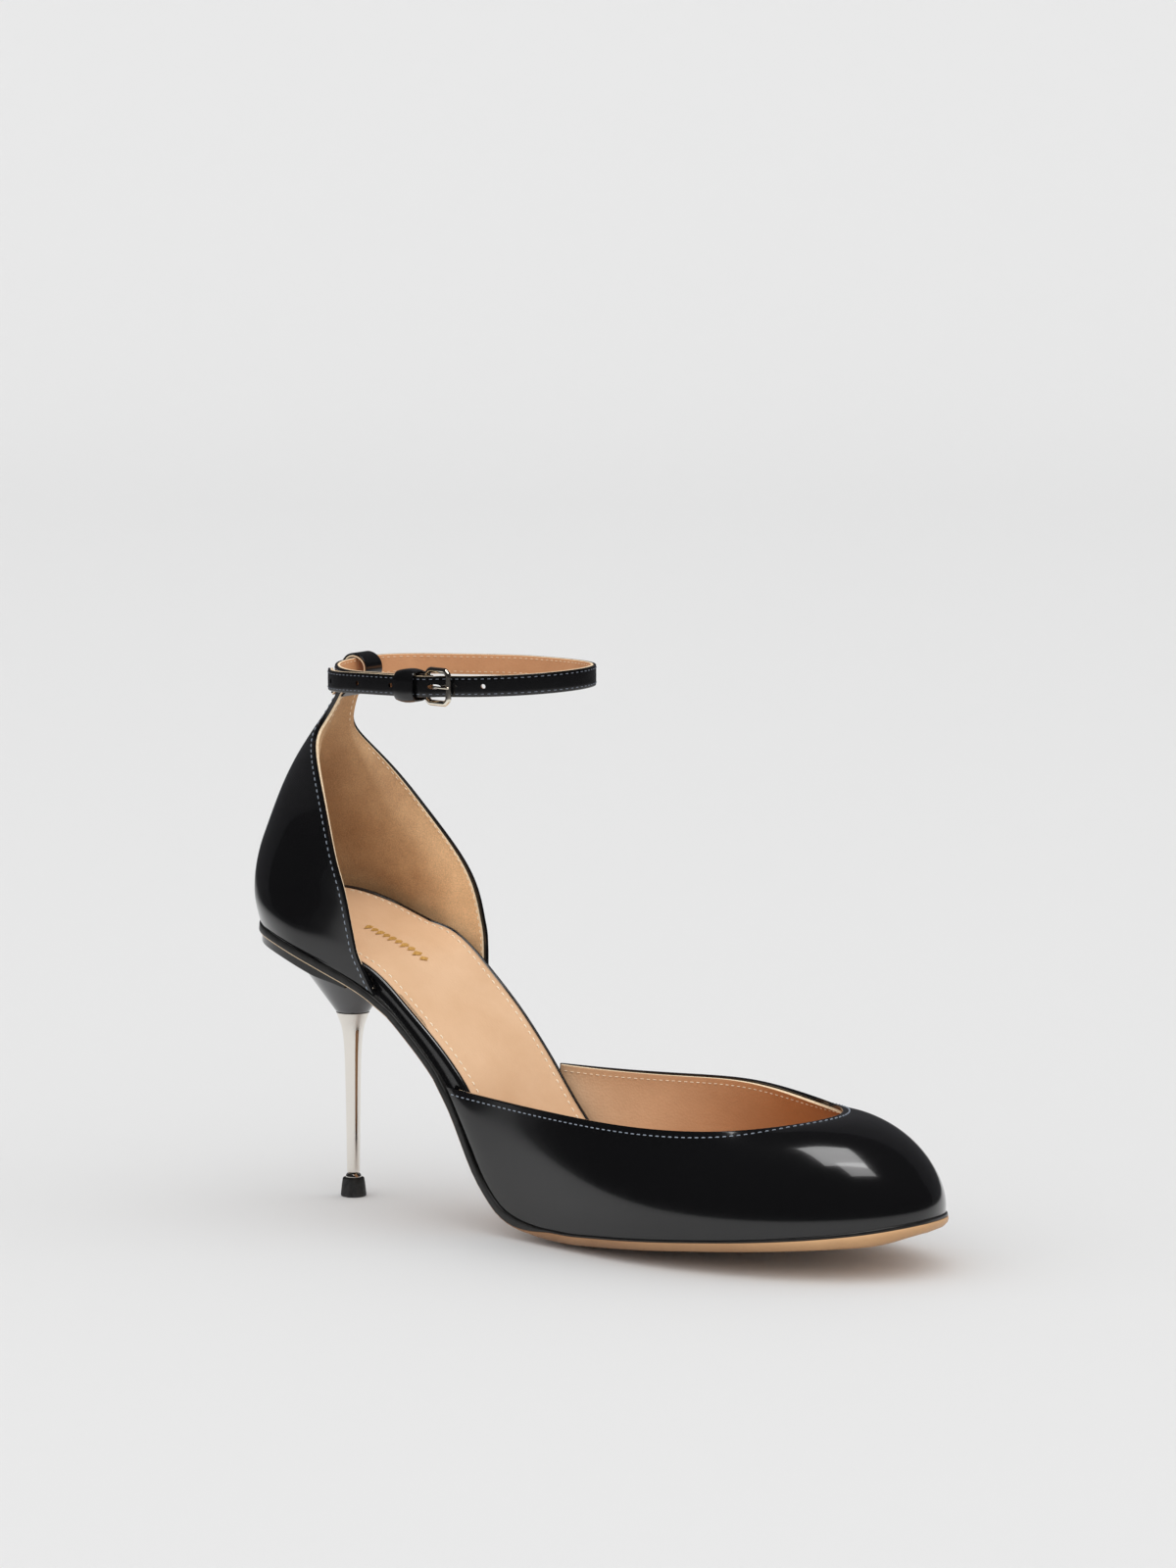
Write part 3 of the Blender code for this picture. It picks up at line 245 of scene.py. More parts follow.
def tabulate(function):
    table = [function(x) for x in TABLE_X]

    def at(x):
        place = min(max((x - SEAT_REAR_X) * TABLE_STEPS_PER_MM, 0.0), len(table) - 1.001)
        left = int(place)
        return table[left] + (table[left + 1] - table[left]) * (place - left)

    return at


FEATHER_HEIGHT = {side: tabulate(curve_through(*zip(*points))) for side, points in FEATHER.items()}


def half_width(side, x):
    if x <= SEAT_STRAIGHT_END_X:
        share = (SEAT_STRAIGHT_END_X - x) / (SEAT_STRAIGHT_END_X - SEAT_REAR_X)
        return SEAT_HALF_WIDTH * math.sqrt(max(1 - share * share, 0.0))
    waist_x, ball_x = WAIST_X[side], BALL_X[side]
    if x <= waist_x:
        return mix(SEAT_HALF_WIDTH, WAIST_HALF_WIDTH[side], ease(SEAT_STRAIGHT_END_X, waist_x, x))
    if x <= ball_x:
        return mix(WAIST_HALF_WIDTH[side], BALL_HALF_WIDTH[side], ease(waist_x, ball_x, x))
    share = (x - ball_x) / (TOE_TIP_X - ball_x)
    return BALL_HALF_WIDTH[side] * math.sqrt(max(1 - share * share, 0.0))


def dense_outline(side):
    shares = (1 - np.cos(np.linspace(0, math.pi, 1601))) / 2
    xs = mix(SEAT_REAR_X, TOE_TIP_X, shares)
    points = np.array([(x, SIDE_SIGN[side] * half_width(side, x)) for x in xs])
    return points, lengths_along(points)


OUTLINE = {side: dense_outline(side) for side in SIDES}


def outline_point(side, distance, inset=0.0):
    """Point on the sole's outline at a distance from the seat's rear, moved inwards by inset."""
    points, lengths = OUTLINE[side]
    end, reach = lengths[-1], 2.0

    def at(d):
        """Beyond both ends the outline goes on along the shoe's other side."""
        here = -d if d < 0 else 2 * end - d if d > end else d
        return interpolate(here, lengths, points) * (1, 1 if here == d else -1)

    along = unit(at(distance + reach) - at(distance - reach))
    return at(distance) + np.array([along[1], -along[0]]) * SIDE_SIGN[side] * inset


def distance_at(side, x):
    points, lengths = OUTLINE[side]
    return float(np.interp(x, points[:, 0], lengths))


def x_at(side, distance):
    points, lengths = OUTLINE[side]
    return float(np.interp(distance, lengths, points[:, 0]))


def side_of(y):
    return "lateral" if y < 0 else "medial"


def base_height(x, y):
    x = min(max(x, SEAT_REAR_X + END_MARGIN), TOE_TIP_X - END_MARGIN)
    across = min(max(y / max(half_width(side_of(y), x), 1.0), -1.0), 1.0)
    edge = mix(FEATHER_HEIGHT["lateral"](x), FEATHER_HEIGHT["medial"](x), (across + 1) / 2)
    rise = max(0.0, (abs(across) - CUP_FLAT_SHARE) / (1 - CUP_FLAT_SHARE)) ** 2
    cup = mix(SEAT_CUP, TREAD_CUP, ease(55.0, 95.0, x))
    end_fade = ease(0.0, 14.0, min(x - SEAT_REAR_X, TOE_TIP_X - x))
    return edge - cup * end_fade * (1 - rise)


def base_normal(x, y):
    step = 0.8
    slope_x = (base_height(x + step, y) - base_height(x - step, y)) / (2 * step)
    slope_y = (base_height(x, y + step) - base_height(x, y - step)) / (2 * step)
    return Vector((-slope_x, -slope_y, 1.0)).normalized()


def sole_point(x, y, level):
    return Vector((x, y, base_height(x, y))) + base_normal(x, y) * level


def below_sole(x, y, gap):
    return base_height(x, y) - (OUTSOLE_THICKNESS + gap) / base_normal(x, y).z


def window(span, soft, x):
    """1 inside a span of x, 0 outside, with soft ends."""
    start, end = span
    return ease(start, start + soft, x) * (1 - ease(end - soft, end, x))


def sock_rise(x, y):
    """How far the sock stands up over the cushion, against the counter, and on the seat's medial side."""
    cushion = CUSHION_RISE * (1 - ease(CUSHION_FRONT_X - 6, CUSHION_FRONT_X + 10, x))
    counter = COUNTER_RISE * (1 - ease(-26.0, 8.0, x))
    return cushion + counter + SEAT_TILT * y / SEAT_HALF_WIDTH * (1 - ease(30.0, 70.0, x))


# ---------------------------------------------------------------- meshes

def linked_object(name, data):
    item = bpy.data.objects.new(name, data)
    bpy.context.scene.collection.objects.link(item)
    return item


def add_object(name, mesh, materials, node=None, body="shoe"):
    """Puts a mesh on a body. node is the CAD part that it replaces, or a list of them."""
    mesh.name = name
    for finish in materials:
        mesh.materials.append(MAT[finish])
    item = linked_object(name, mesh)
    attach(item, body)
    for replaced in ([node] if isinstance(node, str) else node or []):
        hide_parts(replaced)
    return item


def finished_mesh(bm, outward=True, smooth=True, crease=None):
    """Mesh of a bmesh, which it frees. Edges that turn by more than crease degrees stay sharp."""
    if outward:
        bmesh.ops.recalc_face_normals(bm, faces=bm.faces)
    mesh = bpy.data.meshes.new("mesh")
    bm.to_mesh(mesh)
    bm.free()
    if smooth:
        mesh.shade_smooth()
    if crease:
        mesh.set_sharp_from_angle(angle=math.radians(crease))
    return mesh


def skin(bm, rings, closed=False):
    """Faces between rings of points in millimetres, with flat caps unless the rings close on themselves."""
    rings = [[bm.verts.new(Vector(p) * MM) for p in ring] for ring in rings]
    for lower, upper in zip(rings, rings[1:] + rings[:1] * closed):
        for k in range(len(lower)):
            after = (k + 1) % len(lower)
            bm.faces.new((lower[k], lower[after], upper[after], upper[k]))
    if not closed:
        bm.faces.new(list(reversed(rings[0])))
        bm.faces.new(rings[-1])


def grid_mesh(points, closed=False, outward=False, crease=None):
    """Mesh of a grid of points in millimetres. closed joins its last column to the first."""
    bm = bmesh.new()
    verts = [[bm.verts.new(np.array(tuple(p)) * MM) for p in column] for column in points]
    for near, far in zip(verts, verts[1:] + verts[:1] * closed):
        for j in range(len(near) - 1):
            bm.faces.new((near[j], far[j], far[j + 1], near[j + 1]))
    bmesh.ops.remove_doubles(bm, verts=bm.verts, dist=1e-7)
    return finished_mesh(bm, outward, crease=crease)


def thicken(item, thickness, outwards, rim_material=0, edge=0.0, even=True):
    solidify = item.modifiers.new("thickness", "SOLIDIFY")
    solidify.thickness = thickness * MM
    solidify.offset = outwards
    solidify.use_even_offset = even
    solidify.use_quality_normals = True
    solidify.material_offset_rim = rim_material
    if edge:
        bevel = item.modifiers.new("rounded edge", "BEVEL")
        bevel.width = edge * MM
        bevel.segments = 3
        bevel.limit_method = "ANGLE"
        bevel.angle_limit = math.radians(50)
        bevel.use_clamp_overlap = True


def circle(count):
    return np.linspace(0, 2 * math.pi, count, endpoint=False)


def arc(radius, start, end, count):
    """Points of an arc, from one angle in degrees to another."""
    return [(radius * math.cos(a), radius * math.sin(a)) for a in np.radians(np.linspace(start, end, count))]


def tube_mesh(path, radii, sides=12, closed=False):
    """A round wire along a path in millimetres, with one radius for each point."""
    path = [Vector(p) for p in path]
    count = len(path)
    rings = []
    normal = None
    for i, (p, radius) in enumerate(zip(path, radii)):
        before = path[i - 1] if closed or i else p
        after = path[(i + 1) % count] if closed or i < count - 1 else p
        along = (after - before).normalized()
        if normal is None:
            normal = along.orthogonal().normalized()
        normal = (normal - along * normal.dot(along)).normalized()
        side = along.cross(normal)
        rings.append([p + (normal * math.cos(a) + side * math.sin(a)) * radius for a in circle(sides)])
    bm = bmesh.new()
    skin(bm, rings, closed)
    return finished_mesh(bm)


def lathe_mesh(profile, steps):
    """A closed profile of (radius, z) turned about the vertical axis through the origin."""
    columns = [[(r * math.cos(a), r * math.sin(a), z) for r, z in profile] for a in circle(steps)]
    return grid_mesh(columns, closed=True, outward=True, crease=40)


# One stitch: (place along it as a share of its length, lift, size)
STITCH_SHAPE = [(-0.5, -0.14, 0.55), (-0.32, 0.08, 1.0), (0.0, 0.14, 1.05), (0.32, 0.08, 1.0),
                (0.5, -0.14, 0.55)]
STITCH_FLATNESS = 0.8


def stitches(name, places, finish, length=1.25, pitch=2.0, radius=0.17, sink=0.04, body="shoe"):
    """Short threads laid along a path of (point, normal) pairs, each a bent capsule with its ends sunk in."""
    points, normals = (np.array([tuple(v) for v in vectors]) for vectors in zip(*places))
    lengths = lengths_along(points)
    count = int(lengths[-1] / pitch)
    bm = bmesh.new()
    for k in range(count):
        middle = (k + 0.5) * lengths[-1] / count
        up = unit(interpolate(middle, lengths, normals))
        along = unit(interpolate(middle + 0.2, lengths, points) - interpolate(middle - 0.2, lengths, points))
        side = np.cross(along, up)
        rings = []
        for share, lift, size in STITCH_SHAPE:
            centre = interpolate(middle + share * length, lengths, points) + up * (lift - sink)
            rings.append([centre + (up * math.cos(a) * STITCH_FLATNESS + side * math.sin(a)) * radius * size
                          for a in circle(6)])
        skin(bm, rings)
    add_object(name, finished_mesh(bm), [finish], body=body)


# ---------------------------------------------------------------- materials

def set_inputs(node, values):
    """Sets a node's inputs. A value that is an output of another node is linked."""
    for key, value in values.items():
        if isinstance(value, bpy.types.NodeSocket):
            node.id_data.links.new(value, node.inputs[key])
        else:
            node.inputs[key].default_value = value


def add_node(tree, kind, values=None, **settings):
    node = tree.nodes.new("ShaderNode" + kind)
    for key, value in settings.items():
        setattr(node, key, value)
    set_inputs(node, values or {})
    return node


def new_material(name, colour, roughness, metallic=0.0):
    finish = bpy.data.materials.new(name)
    finish.use_nodes = True
    finish.diffuse_color = (*colour, 1.0)
    shader = finish.node_tree.nodes["Principled BSDF"]
    set_inputs(shader, {"Base Color": finish.diffuse_color, "Roughness": roughness, "Metallic": metallic})
    return finish, finish.node_tree, shader


def object_space(tree):
    return add_node(tree, "TexCoord").outputs["Object"]


def noise(tree, scale, detail=4.0, roughness=0.55, stretch=(1, 1, 1)):
    """Noise in object space, scale in features per metre."""
    place = add_node(tree, "Mapping", {"Vector": object_space(tree), "Scale": stretch}).outputs["Vector"]
    return add_node(tree, "TexNoise", {"Vector": place, "Scale": scale, "Detail": detail,
                                       "Roughness": roughness}).outputs["Fac"]


def pores(tree, scale):
    return add_node(tree, "TexVoronoi", {"Vector": object_space(tree), "Scale": scale}).outputs["Distance"]


def ramp(tree, factor, first, last, start=0.3, end=0.7):
    node = add_node(tree, "ValToRGB", {"Fac": factor})
    for element, position, colour in zip(node.color_ramp.elements, (start, end), (first, last)):
        element.position, element.color = position, (*colour, 1)
    return node.outputs["Color"]


def bump(tree, shader, *layers):
    """Chains bumps of (height, depth in millimetres)."""
    last = {}
    for height, depth in layers:
        node = add_node(tree, "Bump", {"Strength": 1.0, "Distance": depth * MM, "Height": height, **last})
        last = {"Normal": node.outputs["Normal"]}
    set_inputs(shader, last)


def vary_roughness(tree, shader, factor, low, high):
    spread = add_node(tree, "MapRange", {"To Min": low, "To Max": high, "Value": factor})
    set_inputs(shader, {"Roughness": spread.outputs["Result"]})


def multiply(tree, colour, tint, factor):
    return add_node(tree, "Mix", {"Factor": factor, "A": colour, "B": tint}, data_type="RGBA",
                    blend_type="MULTIPLY").outputs["Result"]


def patent_leather(name="patent_black", base=0.004, specular=0.42):
    finish, tree, shader = new_material(name, (base, base, base * 1.1), 0.16)
    set_inputs(shader, {"Specular IOR Level": specular, "Coat Weight": 0.55, "Coat Roughness": 0.03,
                        "Coat IOR": 1.48})
    bump(tree, shader, (noise(tree, 45, 2, 0.4), 0.044), (noise(tree, 900, 3, 0.5), 0.0016))
    vary_roughness(tree, shader, noise(tree, 160), 0.12, 0.2)
    return finish


def painted_shade_along_x(tree, colour, start_m, end_m, first, last):
    """Multiplies a colour by a painted shade that changes along the shoe, darker where less light reaches the
    leather.
    """
    split = add_node(tree, "SeparateXYZ", {"Vector": object_space(tree)})
    share = add_node(tree, "MapRange", {"From Min": start_m, "From Max": end_m, "Value": split.outputs["X"]})
    return multiply(tree, colour, ramp(tree, share.outputs["Result"], first, last, 0.0, 1.0), 1.0)


def grained_leather(name, dark, light, roughness, grain=0.05, painted_shade=None):
    finish, tree, shader = new_material(name, light, roughness)
    colour = ramp(tree, noise(tree, 38, 5, 0.6), dark, light)
    # painted shade along the shoe, where one is given
    if painted_shade:
        colour = painted_shade_along_x(tree, colour, *painted_shade)
    set_inputs(shader, {"Base Color": colour, "Sheen Roughness": 0.4, "Specular IOR Level": 0.35})
    bump(tree, shader, (noise(tree, 260, 4), grain * 1.4), (pores(tree, 1400), grain))
    vary_roughness(tree, shader, noise(tree, 500), roughness - 0.08, roughness + 0.08)
    return finish


def suede_leather():
    finish, tree, shader = new_material("suede_brown", (0.45, 0.25, 0.11), 0.75)
    nap = noise(tree, 2600, 2, 0.7)
    streak = noise(tree, 420, 4, 0.7, stretch=(1.0, 1.0, 0.5))
    base = ramp(tree, noise(tree, 70, 5, 0.65), (0.66, 0.39, 0.20), (0.86, 0.56, 0.31))
    speckle = ramp(tree, nap, (0.72, 0.72, 0.72), (1.2, 1.16, 1.08), end=0.72)
    # painted shade: the suede darker towards the back of the heel cup, where less light reaches
    colour = painted_shade_along_x(tree, multiply(tree, base, speckle, 0.8), -0.02, 0.03, (0.52, 0.48, 0.44),
                          (1.0, 1.0, 1.0))
    set_inputs(shader, {"Base Color": colour, "Sheen Weight": 0.35, "Sheen Roughness": 0.35,
                        "Sheen Tint": (1.0, 0.85, 0.6, 1.0), "Specular IOR Level": 0.4})
    bump(tree, shader, (streak, 0.08), (nap, 0.05))
    vary_roughness(tree, shader, streak, 0.5, 0.72)
    return finish


def polished_metal(name, colour, roughness):
    finish, tree, shader = new_material(name, colour, roughness, 1.0)
    vary_roughness(tree, shader, noise(tree, 300, 5, 0.6), roughness * 0.6, roughness * 1.6)
    bump(tree, shader, (noise(tree, 120, 2), 0.006))
    return finish


def rough_solid(name, dark, light, roughness, scale, depth, metallic=0.0):
    finish, tree, shader = new_material(name, light, roughness, metallic)
    speck = noise(tree, scale, 5, 0.65)
    set_inputs(shader, {"Base Color": ramp(tree, speck, dark, light, 0.35, 0.65)})
    bump(tree, shader, (speck, depth))
    vary_roughness(tree, shader, speck, roughness - 0.07, roughness + 0.07)
    return finish


def thread(name, colour):
    finish, tree, shader = new_material(name, colour, 0.55)
    twist = noise(tree, 3200, 2, 0.5)
    set_inputs(shader, {"Base Color": ramp(tree, twist, [c * 0.72 for c in colour], colour)})
    bump(tree, shader, (twist, 0.03))
    return finish


MAT = {
    "patent": patent_leather(),
    "edge_paint": rough_solid("edge_paint_black", (0.006, 0.006, 0.006), (0.014, 0.013, 0.012), 0.34,
                              500, 0.02),
    "lining": grained_leather("lining_tan", (0.47, 0.215, 0.095), (0.58, 0.29, 0.14), 0.5),
    "suede": suede_leather(),
    "sock": grained_leather("sock_tan", (0.56, 0.345, 0.195), (0.63, 0.41, 0.25), 0.48, 0.03),
    # painted shade: the tan outsole darker behind the ball, towards the arch
    "outsole": grained_leather("outsole_tan", (0.50, 0.285, 0.14), (0.62, 0.37, 0.185), 0.46, 0.04,
                               painted_shade=(0.12, 0.19, (0.55, 0.5, 0.5), (1.0, 1.0, 1.0))),
    # painted shade: the vamp lining darker and more orange towards the toe, deeper inside the toe box
    "vamp_lining": grained_leather("vamp_lining_tan", (0.58, 0.36, 0.21), (0.70, 0.46, 0.28), 0.5,
                                   painted_shade=(0.065, 0.135, (1.0, 1.0, 1.0), (0.68, 0.42, 0.26))),
    "patent_heel": patent_leather("patent_heel", base=0.03, specular=1.0),
    "cream_edge": rough_solid("cut_edge_cream", (0.62, 0.45, 0.28), (0.82, 0.66, 0.46), 0.8, 1500, 0.05),
    "thread_blue": thread("thread_grey_blue", (0.26, 0.30, 0.36)),
    "thread_dim": thread("thread_dark_grey_blue", (0.15, 0.17, 0.21)),
    "thread_cream": thread("thread_cream", (0.95, 0.80, 0.60)),
    "thread_tan": thread("thread_pale_tan", (0.80, 0.56, 0.36)),
    "pin": polished_metal("steel_polished", (0.86, 0.82, 0.76), 0.05),
    "buckle": polished_metal("plate_pale_gold", (0.90, 0.83, 0.70), 0.09),
    "gold": rough_solid("foil_gold", (0.36, 0.18, 0.035), (0.70, 0.42, 0.12), 0.35, 1800, 0.02, 0.25),
    "rubber": rough_solid("rubber_black", (0.008, 0.008, 0.008), (0.03, 0.03, 0.03), 0.55, 900, 0.08),
    "steel": rough_solid("steel_plain", (0.42, 0.42, 0.43), (0.58, 0.58, 0.59), 0.35, 900, 0.02, 1.0),
    "board": rough_solid("board_fibre", (0.26, 0.16, 0.09), (0.40, 0.27, 0.16), 0.85, 1200, 0.06),
    "foam": rough_solid("foam_cream", (0.62, 0.57, 0.48), (0.80, 0.76, 0.68), 0.9, 1800, 0.1),
    "filler": rough_solid("filler_cork", (0.12, 0.08, 0.05), (0.30, 0.20, 0.12), 0.9, 900, 0.1),
    "stiffener": rough_solid("stiffener_sheet", (0.55, 0.48, 0.36), (0.68, 0.61, 0.48), 0.85, 1500, 0.05),
    "core": rough_solid("heel_core_black", (0.03, 0.03, 0.03), (0.06, 0.06, 0.06), 0.45, 600, 0.02),
}

SLOT_MATERIAL = {s["node"]: s["material_slot"] for s in frame["record"]["subparts"]}
for node_name, node_object in nodes.items():
    node_object.data.materials.clear()
    node_object.data.materials.append(MAT[SLOT_MATERIAL[node_name]])


# ---------------------------------------------------------------- sole pieces

def loop_places(count):
    """Places round the sole's outline: (side, distance), from the seat's rear round the toe and back."""
    even = np.linspace(0, 1, count)
    shares = mix((1 - np.cos(math.pi * even)) / 2, even, 0.55)
    lateral, medial = ([(side, share * OUTLINE[side][1][-1]) for share in shares] for side in SIDES)
    return lateral[:-1] + medial[:0:-1]


def edge_sweep(name, profile, materials, node=None):
    """A band swept round the sole. profile(side, x) gives (inset, level) points."""
    rows = [[sole_point(*outline_point(side, distance, inset), level)
             for inset, level in profile(side, x_at(side, distance))] for side, distance in loop_places(150)]
    return add_object(name, grid_mesh(rows, closed=True), materials, node)


def plan_between(across, along, inset):
    """A place on the sole's plan, from its medial to its lateral edge. inset(side, x) moves the edges in."""
    x = mix(SEAT_REAR_X, TOE_TIP_X, 0.15 * along + 0.85 * (1 - math.cos(math.pi * along)) / 2)
    lateral, medial = (outline_point(side, distance_at(side, x), inset(side, x)) for side in SIDES)
    return mix(medial, lateral, across)


def paint_levels(side, x):
    """Top and bottom of the black edge: a thin lip over the tan sole in front, all of the edge behind."""
    front = ease(*PAINT_ENDS_X[side], x)
    lip = mix(0.7, 1.15, ease(150, 200, x))
    return mix(mix(0.05, 0.4, 1 - ease(10, 24, x)), lip, ease(60, 82, x)), mix(-2.0, -0.02, front)


def bare_inset(side, x):
    return OPEN_WAIST_INSET * window(OPEN_WAIST[side], 5, x)


def outsole_edge_profile(side, x):
    top, bottom = paint_levels(side, x)
    shape = [(2.2, 0.02), (0.55, top - 0.02), (0.2, top - 0.06), (0.03, top - 0.2), (0, top - 0.36),
             (0, bottom + 0.3), (0.06, bottom + 0.1), (0.3, bottom), (1.6, bottom)]
    return [(bare_inset(side, x) + inset, level) for inset, level in shape]


def outsole_bottom_profile(side, x):
    behind = [(0.6, -1.7), (0.36, -2.0), (0.3, -2.12), (0.36, -2.26), (0.8, -2.34), (2.4, -2.34),
              (6.5, -2.28), (7.5, -2.2)]
    ahead = [(0.9, 0.0), (0.14, -0.04), (0.05, -0.3), (0.18, -0.9), (0.7, -1.6), (2.2, -2.3),
             (6.5, -2.34), (7.5, -2.2)]
    shape = mix(np.array(behind), np.array(ahead), ease(*PAINT_ENDS_X[side], x))
    return [(bare_inset(side, x) + inset, level) for inset, level in shape]


def build_outsole():
    edge_sweep("outsole_painted_edge", outsole_edge_profile, ["edge_paint"])
    bevel = edge_sweep("outsole_bevel", outsole_bottom_profile, ["outsole", "cream_edge"])
    for face in bevel.data.polygons:
        face.material_index = int(face.center.x < SEAT_LINE_END_X * MM)

    top = 0.05

    def surface(across, along):
        return sole_point(*plan_between(across, along, lambda side, x: 3.0), -top)

    item = add_object("outsole_leather", grid_mesh(sample(surface, 18, 120)), ["outsole"], "outsole")
    thicken(item, OUTSOLE_THICKNESS - top, -1)


def rim_open(side, x):
    """1 where the insole's side is seen between quarter and vamp, and just behind their corners."""
    return window(RIM_OPEN_X[side], 7, x)


def rim_edge(side, x):
    """Inset of the rim: clear of the linings, and out at the edge where it is bare."""
    covered = mix(mix(4.7, 3.3, ease(60, 90, x)), 5.0, ease(150, 175, x))
    return mix(covered, 2.75, rim_open(side, x))


def insole_rim_profile(side, x):
    edge = rim_edge(side, x)
    top = SOCK_LEVEL - 0.6 + sock_rise(x, SIDE_SIGN[side] * (half_width(side, x) - edge))
    low = mix(1.6, 0.1, rim_open(side, x))
    shape = [(4.0, top - 0.5), (1.75, top - 0.35), (1.6, top - 0.05), (1.35, top + 0.03), (0.95, top - 0.08),
             (0.5, top - 0.38), (0.15, top - 0.85), (0, top - 1.4), (0.1, mix(top, low, 0.5)),
             (0.05, mix(top, low, 0.8)), (-0.15, low + 0.3), (-0.5, low)]
    return [(edge + inset, level) for inset, level in shape]


def sock_outline(side, x):
    return rim_edge(side, x) + 1.7


def sock_surface(across, along):
    x, y = plan_between(across, along, sock_outline)
    crown = 0.35 * ease(0.0, 0.06, min(across, 1 - across))
    return sole_point(x, y, SOCK_LEVEL - 0.85 + sock_rise(x, y) + crown)


def build_insole():
    edge_sweep("insole_rim", insole_rim_profile, ["patent"],
               ["insole_binding_" + side for side in SIDES])
    item = add_object("sock", grid_mesh(sample(sock_surface, 40, 150)), ["sock", "cream_edge"],
                      ["sock_lining", "heel_cushion", "forepart_foam"])
    thicken(item, 0.7, -1, rim_material=1)
    for side in SIDES:
        places = []
        for distance in np.linspace(distance_at(side, -22), distance_at(side, 150), 260):
            inset = sock_outline(side, x_at(side, distance)) + 2.6
            x, y = outline_point(side, distance, inset)
            places.append((sole_point(x, y, SOCK_LEVEL - 0.5 + sock_rise(x, y)), base_normal(x, y)))
        stitches("sock_stitches_" + side, places, "thread_cream", 1.5, 2.4, 0.22, 0.02)
    build_ornament()


def build_ornament():
    """A row of small gold lozenges on the sock, in place of any mark."""
    bm = bmesh.new()
    for k in range(10):
        x, y = 5.5 + 2.0 * k, -1.5 + 0.15 * k
        across = 2.8 - 0.7 * (k % 2)
        level = SOCK_LEVEL - 0.44 + sock_rise(x, y)
        bm.faces.new([bm.verts.new(sole_point(x + dx, y + dy, level) * MM)
                      for dx, dy in ((-0.95, 0), (0, -across), (0.95, 0), (0, across))])
    item = add_object("sock_ornament", finished_mesh(bm, outward=False, smooth=False), ["gold"], None)
    thicken(item, 0.06, 0)


# ---------------------------------------------------------------- upper

QUARTER_BACK_CURVE = smooth_curve(QUARTER_BACK)
QUARTER_FRONT_CURVE = {side: smooth_curve(points) for side, points in QUARTER_FRONT.items()}


def quarter_wall(across, height):
    side = "lateral" if across < 0.5 else "medial"
    reach = abs(2 * across - 1)
    centre, end = QUARTER_BACK_CURVE(height), QUARTER_FRONT_CURVE[side](height)

    def feather(share):
        front = distance_at(side, QUARTER_FRONT[side][0][0])
        return sole_point(*outline_point(side, front * share, UPPER_INSET), UPPER_LEVEL)

    foot, corner, heel = feather(reach), feather(1.0), feather(0.0)
    seat_x = (foot.x - heel.x) / (corner.x - heel.x)
    seat_y = foot.y / corner.y
    tab = ease(85.0, 128.0, centre[2])
    shape_x, shape_y = mix(seat_x, reach * reach, tab), mix(seat_y, reach, tab)
    point = Vector((mix(centre[0], end[0], shape_x), end[1] * shape_y,
                    mix(centre[2], end[2], mix(shape_x, reach, 0.3))))
    return point.lerp(foot, 1 - ease(0.0, 0.12, height))


def vamp_wall_maker():
    toe_distance = OUTLINE["lateral"][1][-1]
    whole = toe_distance + OUTLINE["medial"][1][-1]
    knots = [whole - distance_at(side, x) if side == "medial" else distance_at("lateral", x)
             for side, x, _ in VAMP_STATIONS]
    topline = spline_through(knots, [point for _, _, point in VAMP_STATIONS])

    def feather(distance, inset):
        place = ("lateral", distance) if distance <= toe_distance else ("medial", whole - distance)
        return sole_point(*outline_point(*place, inset), UPPER_LEVEL)


    def wall(across, share):
        distance = mix(knots[0], knots[-1], across)
        foot, top = feather(distance, UPPER_INSET), Vector(topline(distance))
        inner = feather(distance, UPPER_INSET + 2.0)
        out = Vector((foot.x - inner.x, foot.y - inner.y, 0)).normalized()
        rise = top.z - foot.z
        run = max((foot - top).dot(out), 0.0)
        lean = ease(4.0, 26.0, run)
        handle_low = foot + Vector((0, 0, rise * 0.5)) + out * VAMP_BULGE * ease(2.0, 16.0, rise)
        side_handle = top + out * (0.4 * run + 0.8 * ease(4, 20, rise)) - Vector((0, 0, rise * 0.33))
        toe_handle = top + out * 0.56 * run + Vector((0, 0, 0.6))
        handle_high = side_handle.lerp(toe_handle, lean)
        a, b, c, d = (1 - share)**3, 3 * share * (1 - share)**2, 3 * share**2 * (1 - share), share**3
        return foot * a + handle_low * b + handle_high * c + top * d

    return wall


def fade(values, border):
    values = np.clip(np.asarray(values) / border, 0, 1)
    return values * values * (3 - 2 * values)


# where the lateral lining is black below the sock, beside the bare rim
LINING_BLACK_START_X = 10.0
LINING_BLACK_END_X = 84.0


def leather_pair(name, patch, sign, shape, room, nodes_outer, nodes_lining, finish, inside):
    """Outer leather and lining on one surface. sign is +1 where the surface's normal points inwards.

    inside gives the lining's limits as shares of the patch: (across from, to), (up from, to).
    """
    us, vs = np.linspace(0, 1, shape[0]), np.linspace(0, 1, shape[1])
    outer = add_object(name + "_patent", grid_mesh(patch.grid(us, vs)), ["patent"], nodes_outer)
    thicken(outer, OUTER_THICKNESS, sign, edge=0.32)
    us, vs = np.linspace(*inside[0], shape[0]), np.linspace(*inside[1], shape[1])
    depth = LINING_DEPTH + room(us[:, None], vs[None, :])
    inner = patch.grid(us, vs) + patch.normals(us, vs) * (sign * depth)[..., None]
    lining = add_object(name + "_lining", grid_mesh(inner), [finish, "cream_edge", "patent"], nodes_lining)
    for face in lining.data.polygons:
        x, y, z = face.center / MM
        hidden = z < base_height(x, y) + SOCK_LEVEL + 0.2 + sock_rise(x, y)
        bare = y < 0 and LINING_BLACK_START_X < x < LINING_BLACK_END_X
        face.material_index = 2 if hidden and bare else 0
    thicken(lining, LINING_THICKNESS, sign, rim_material=1, edge=0.15, even=False)


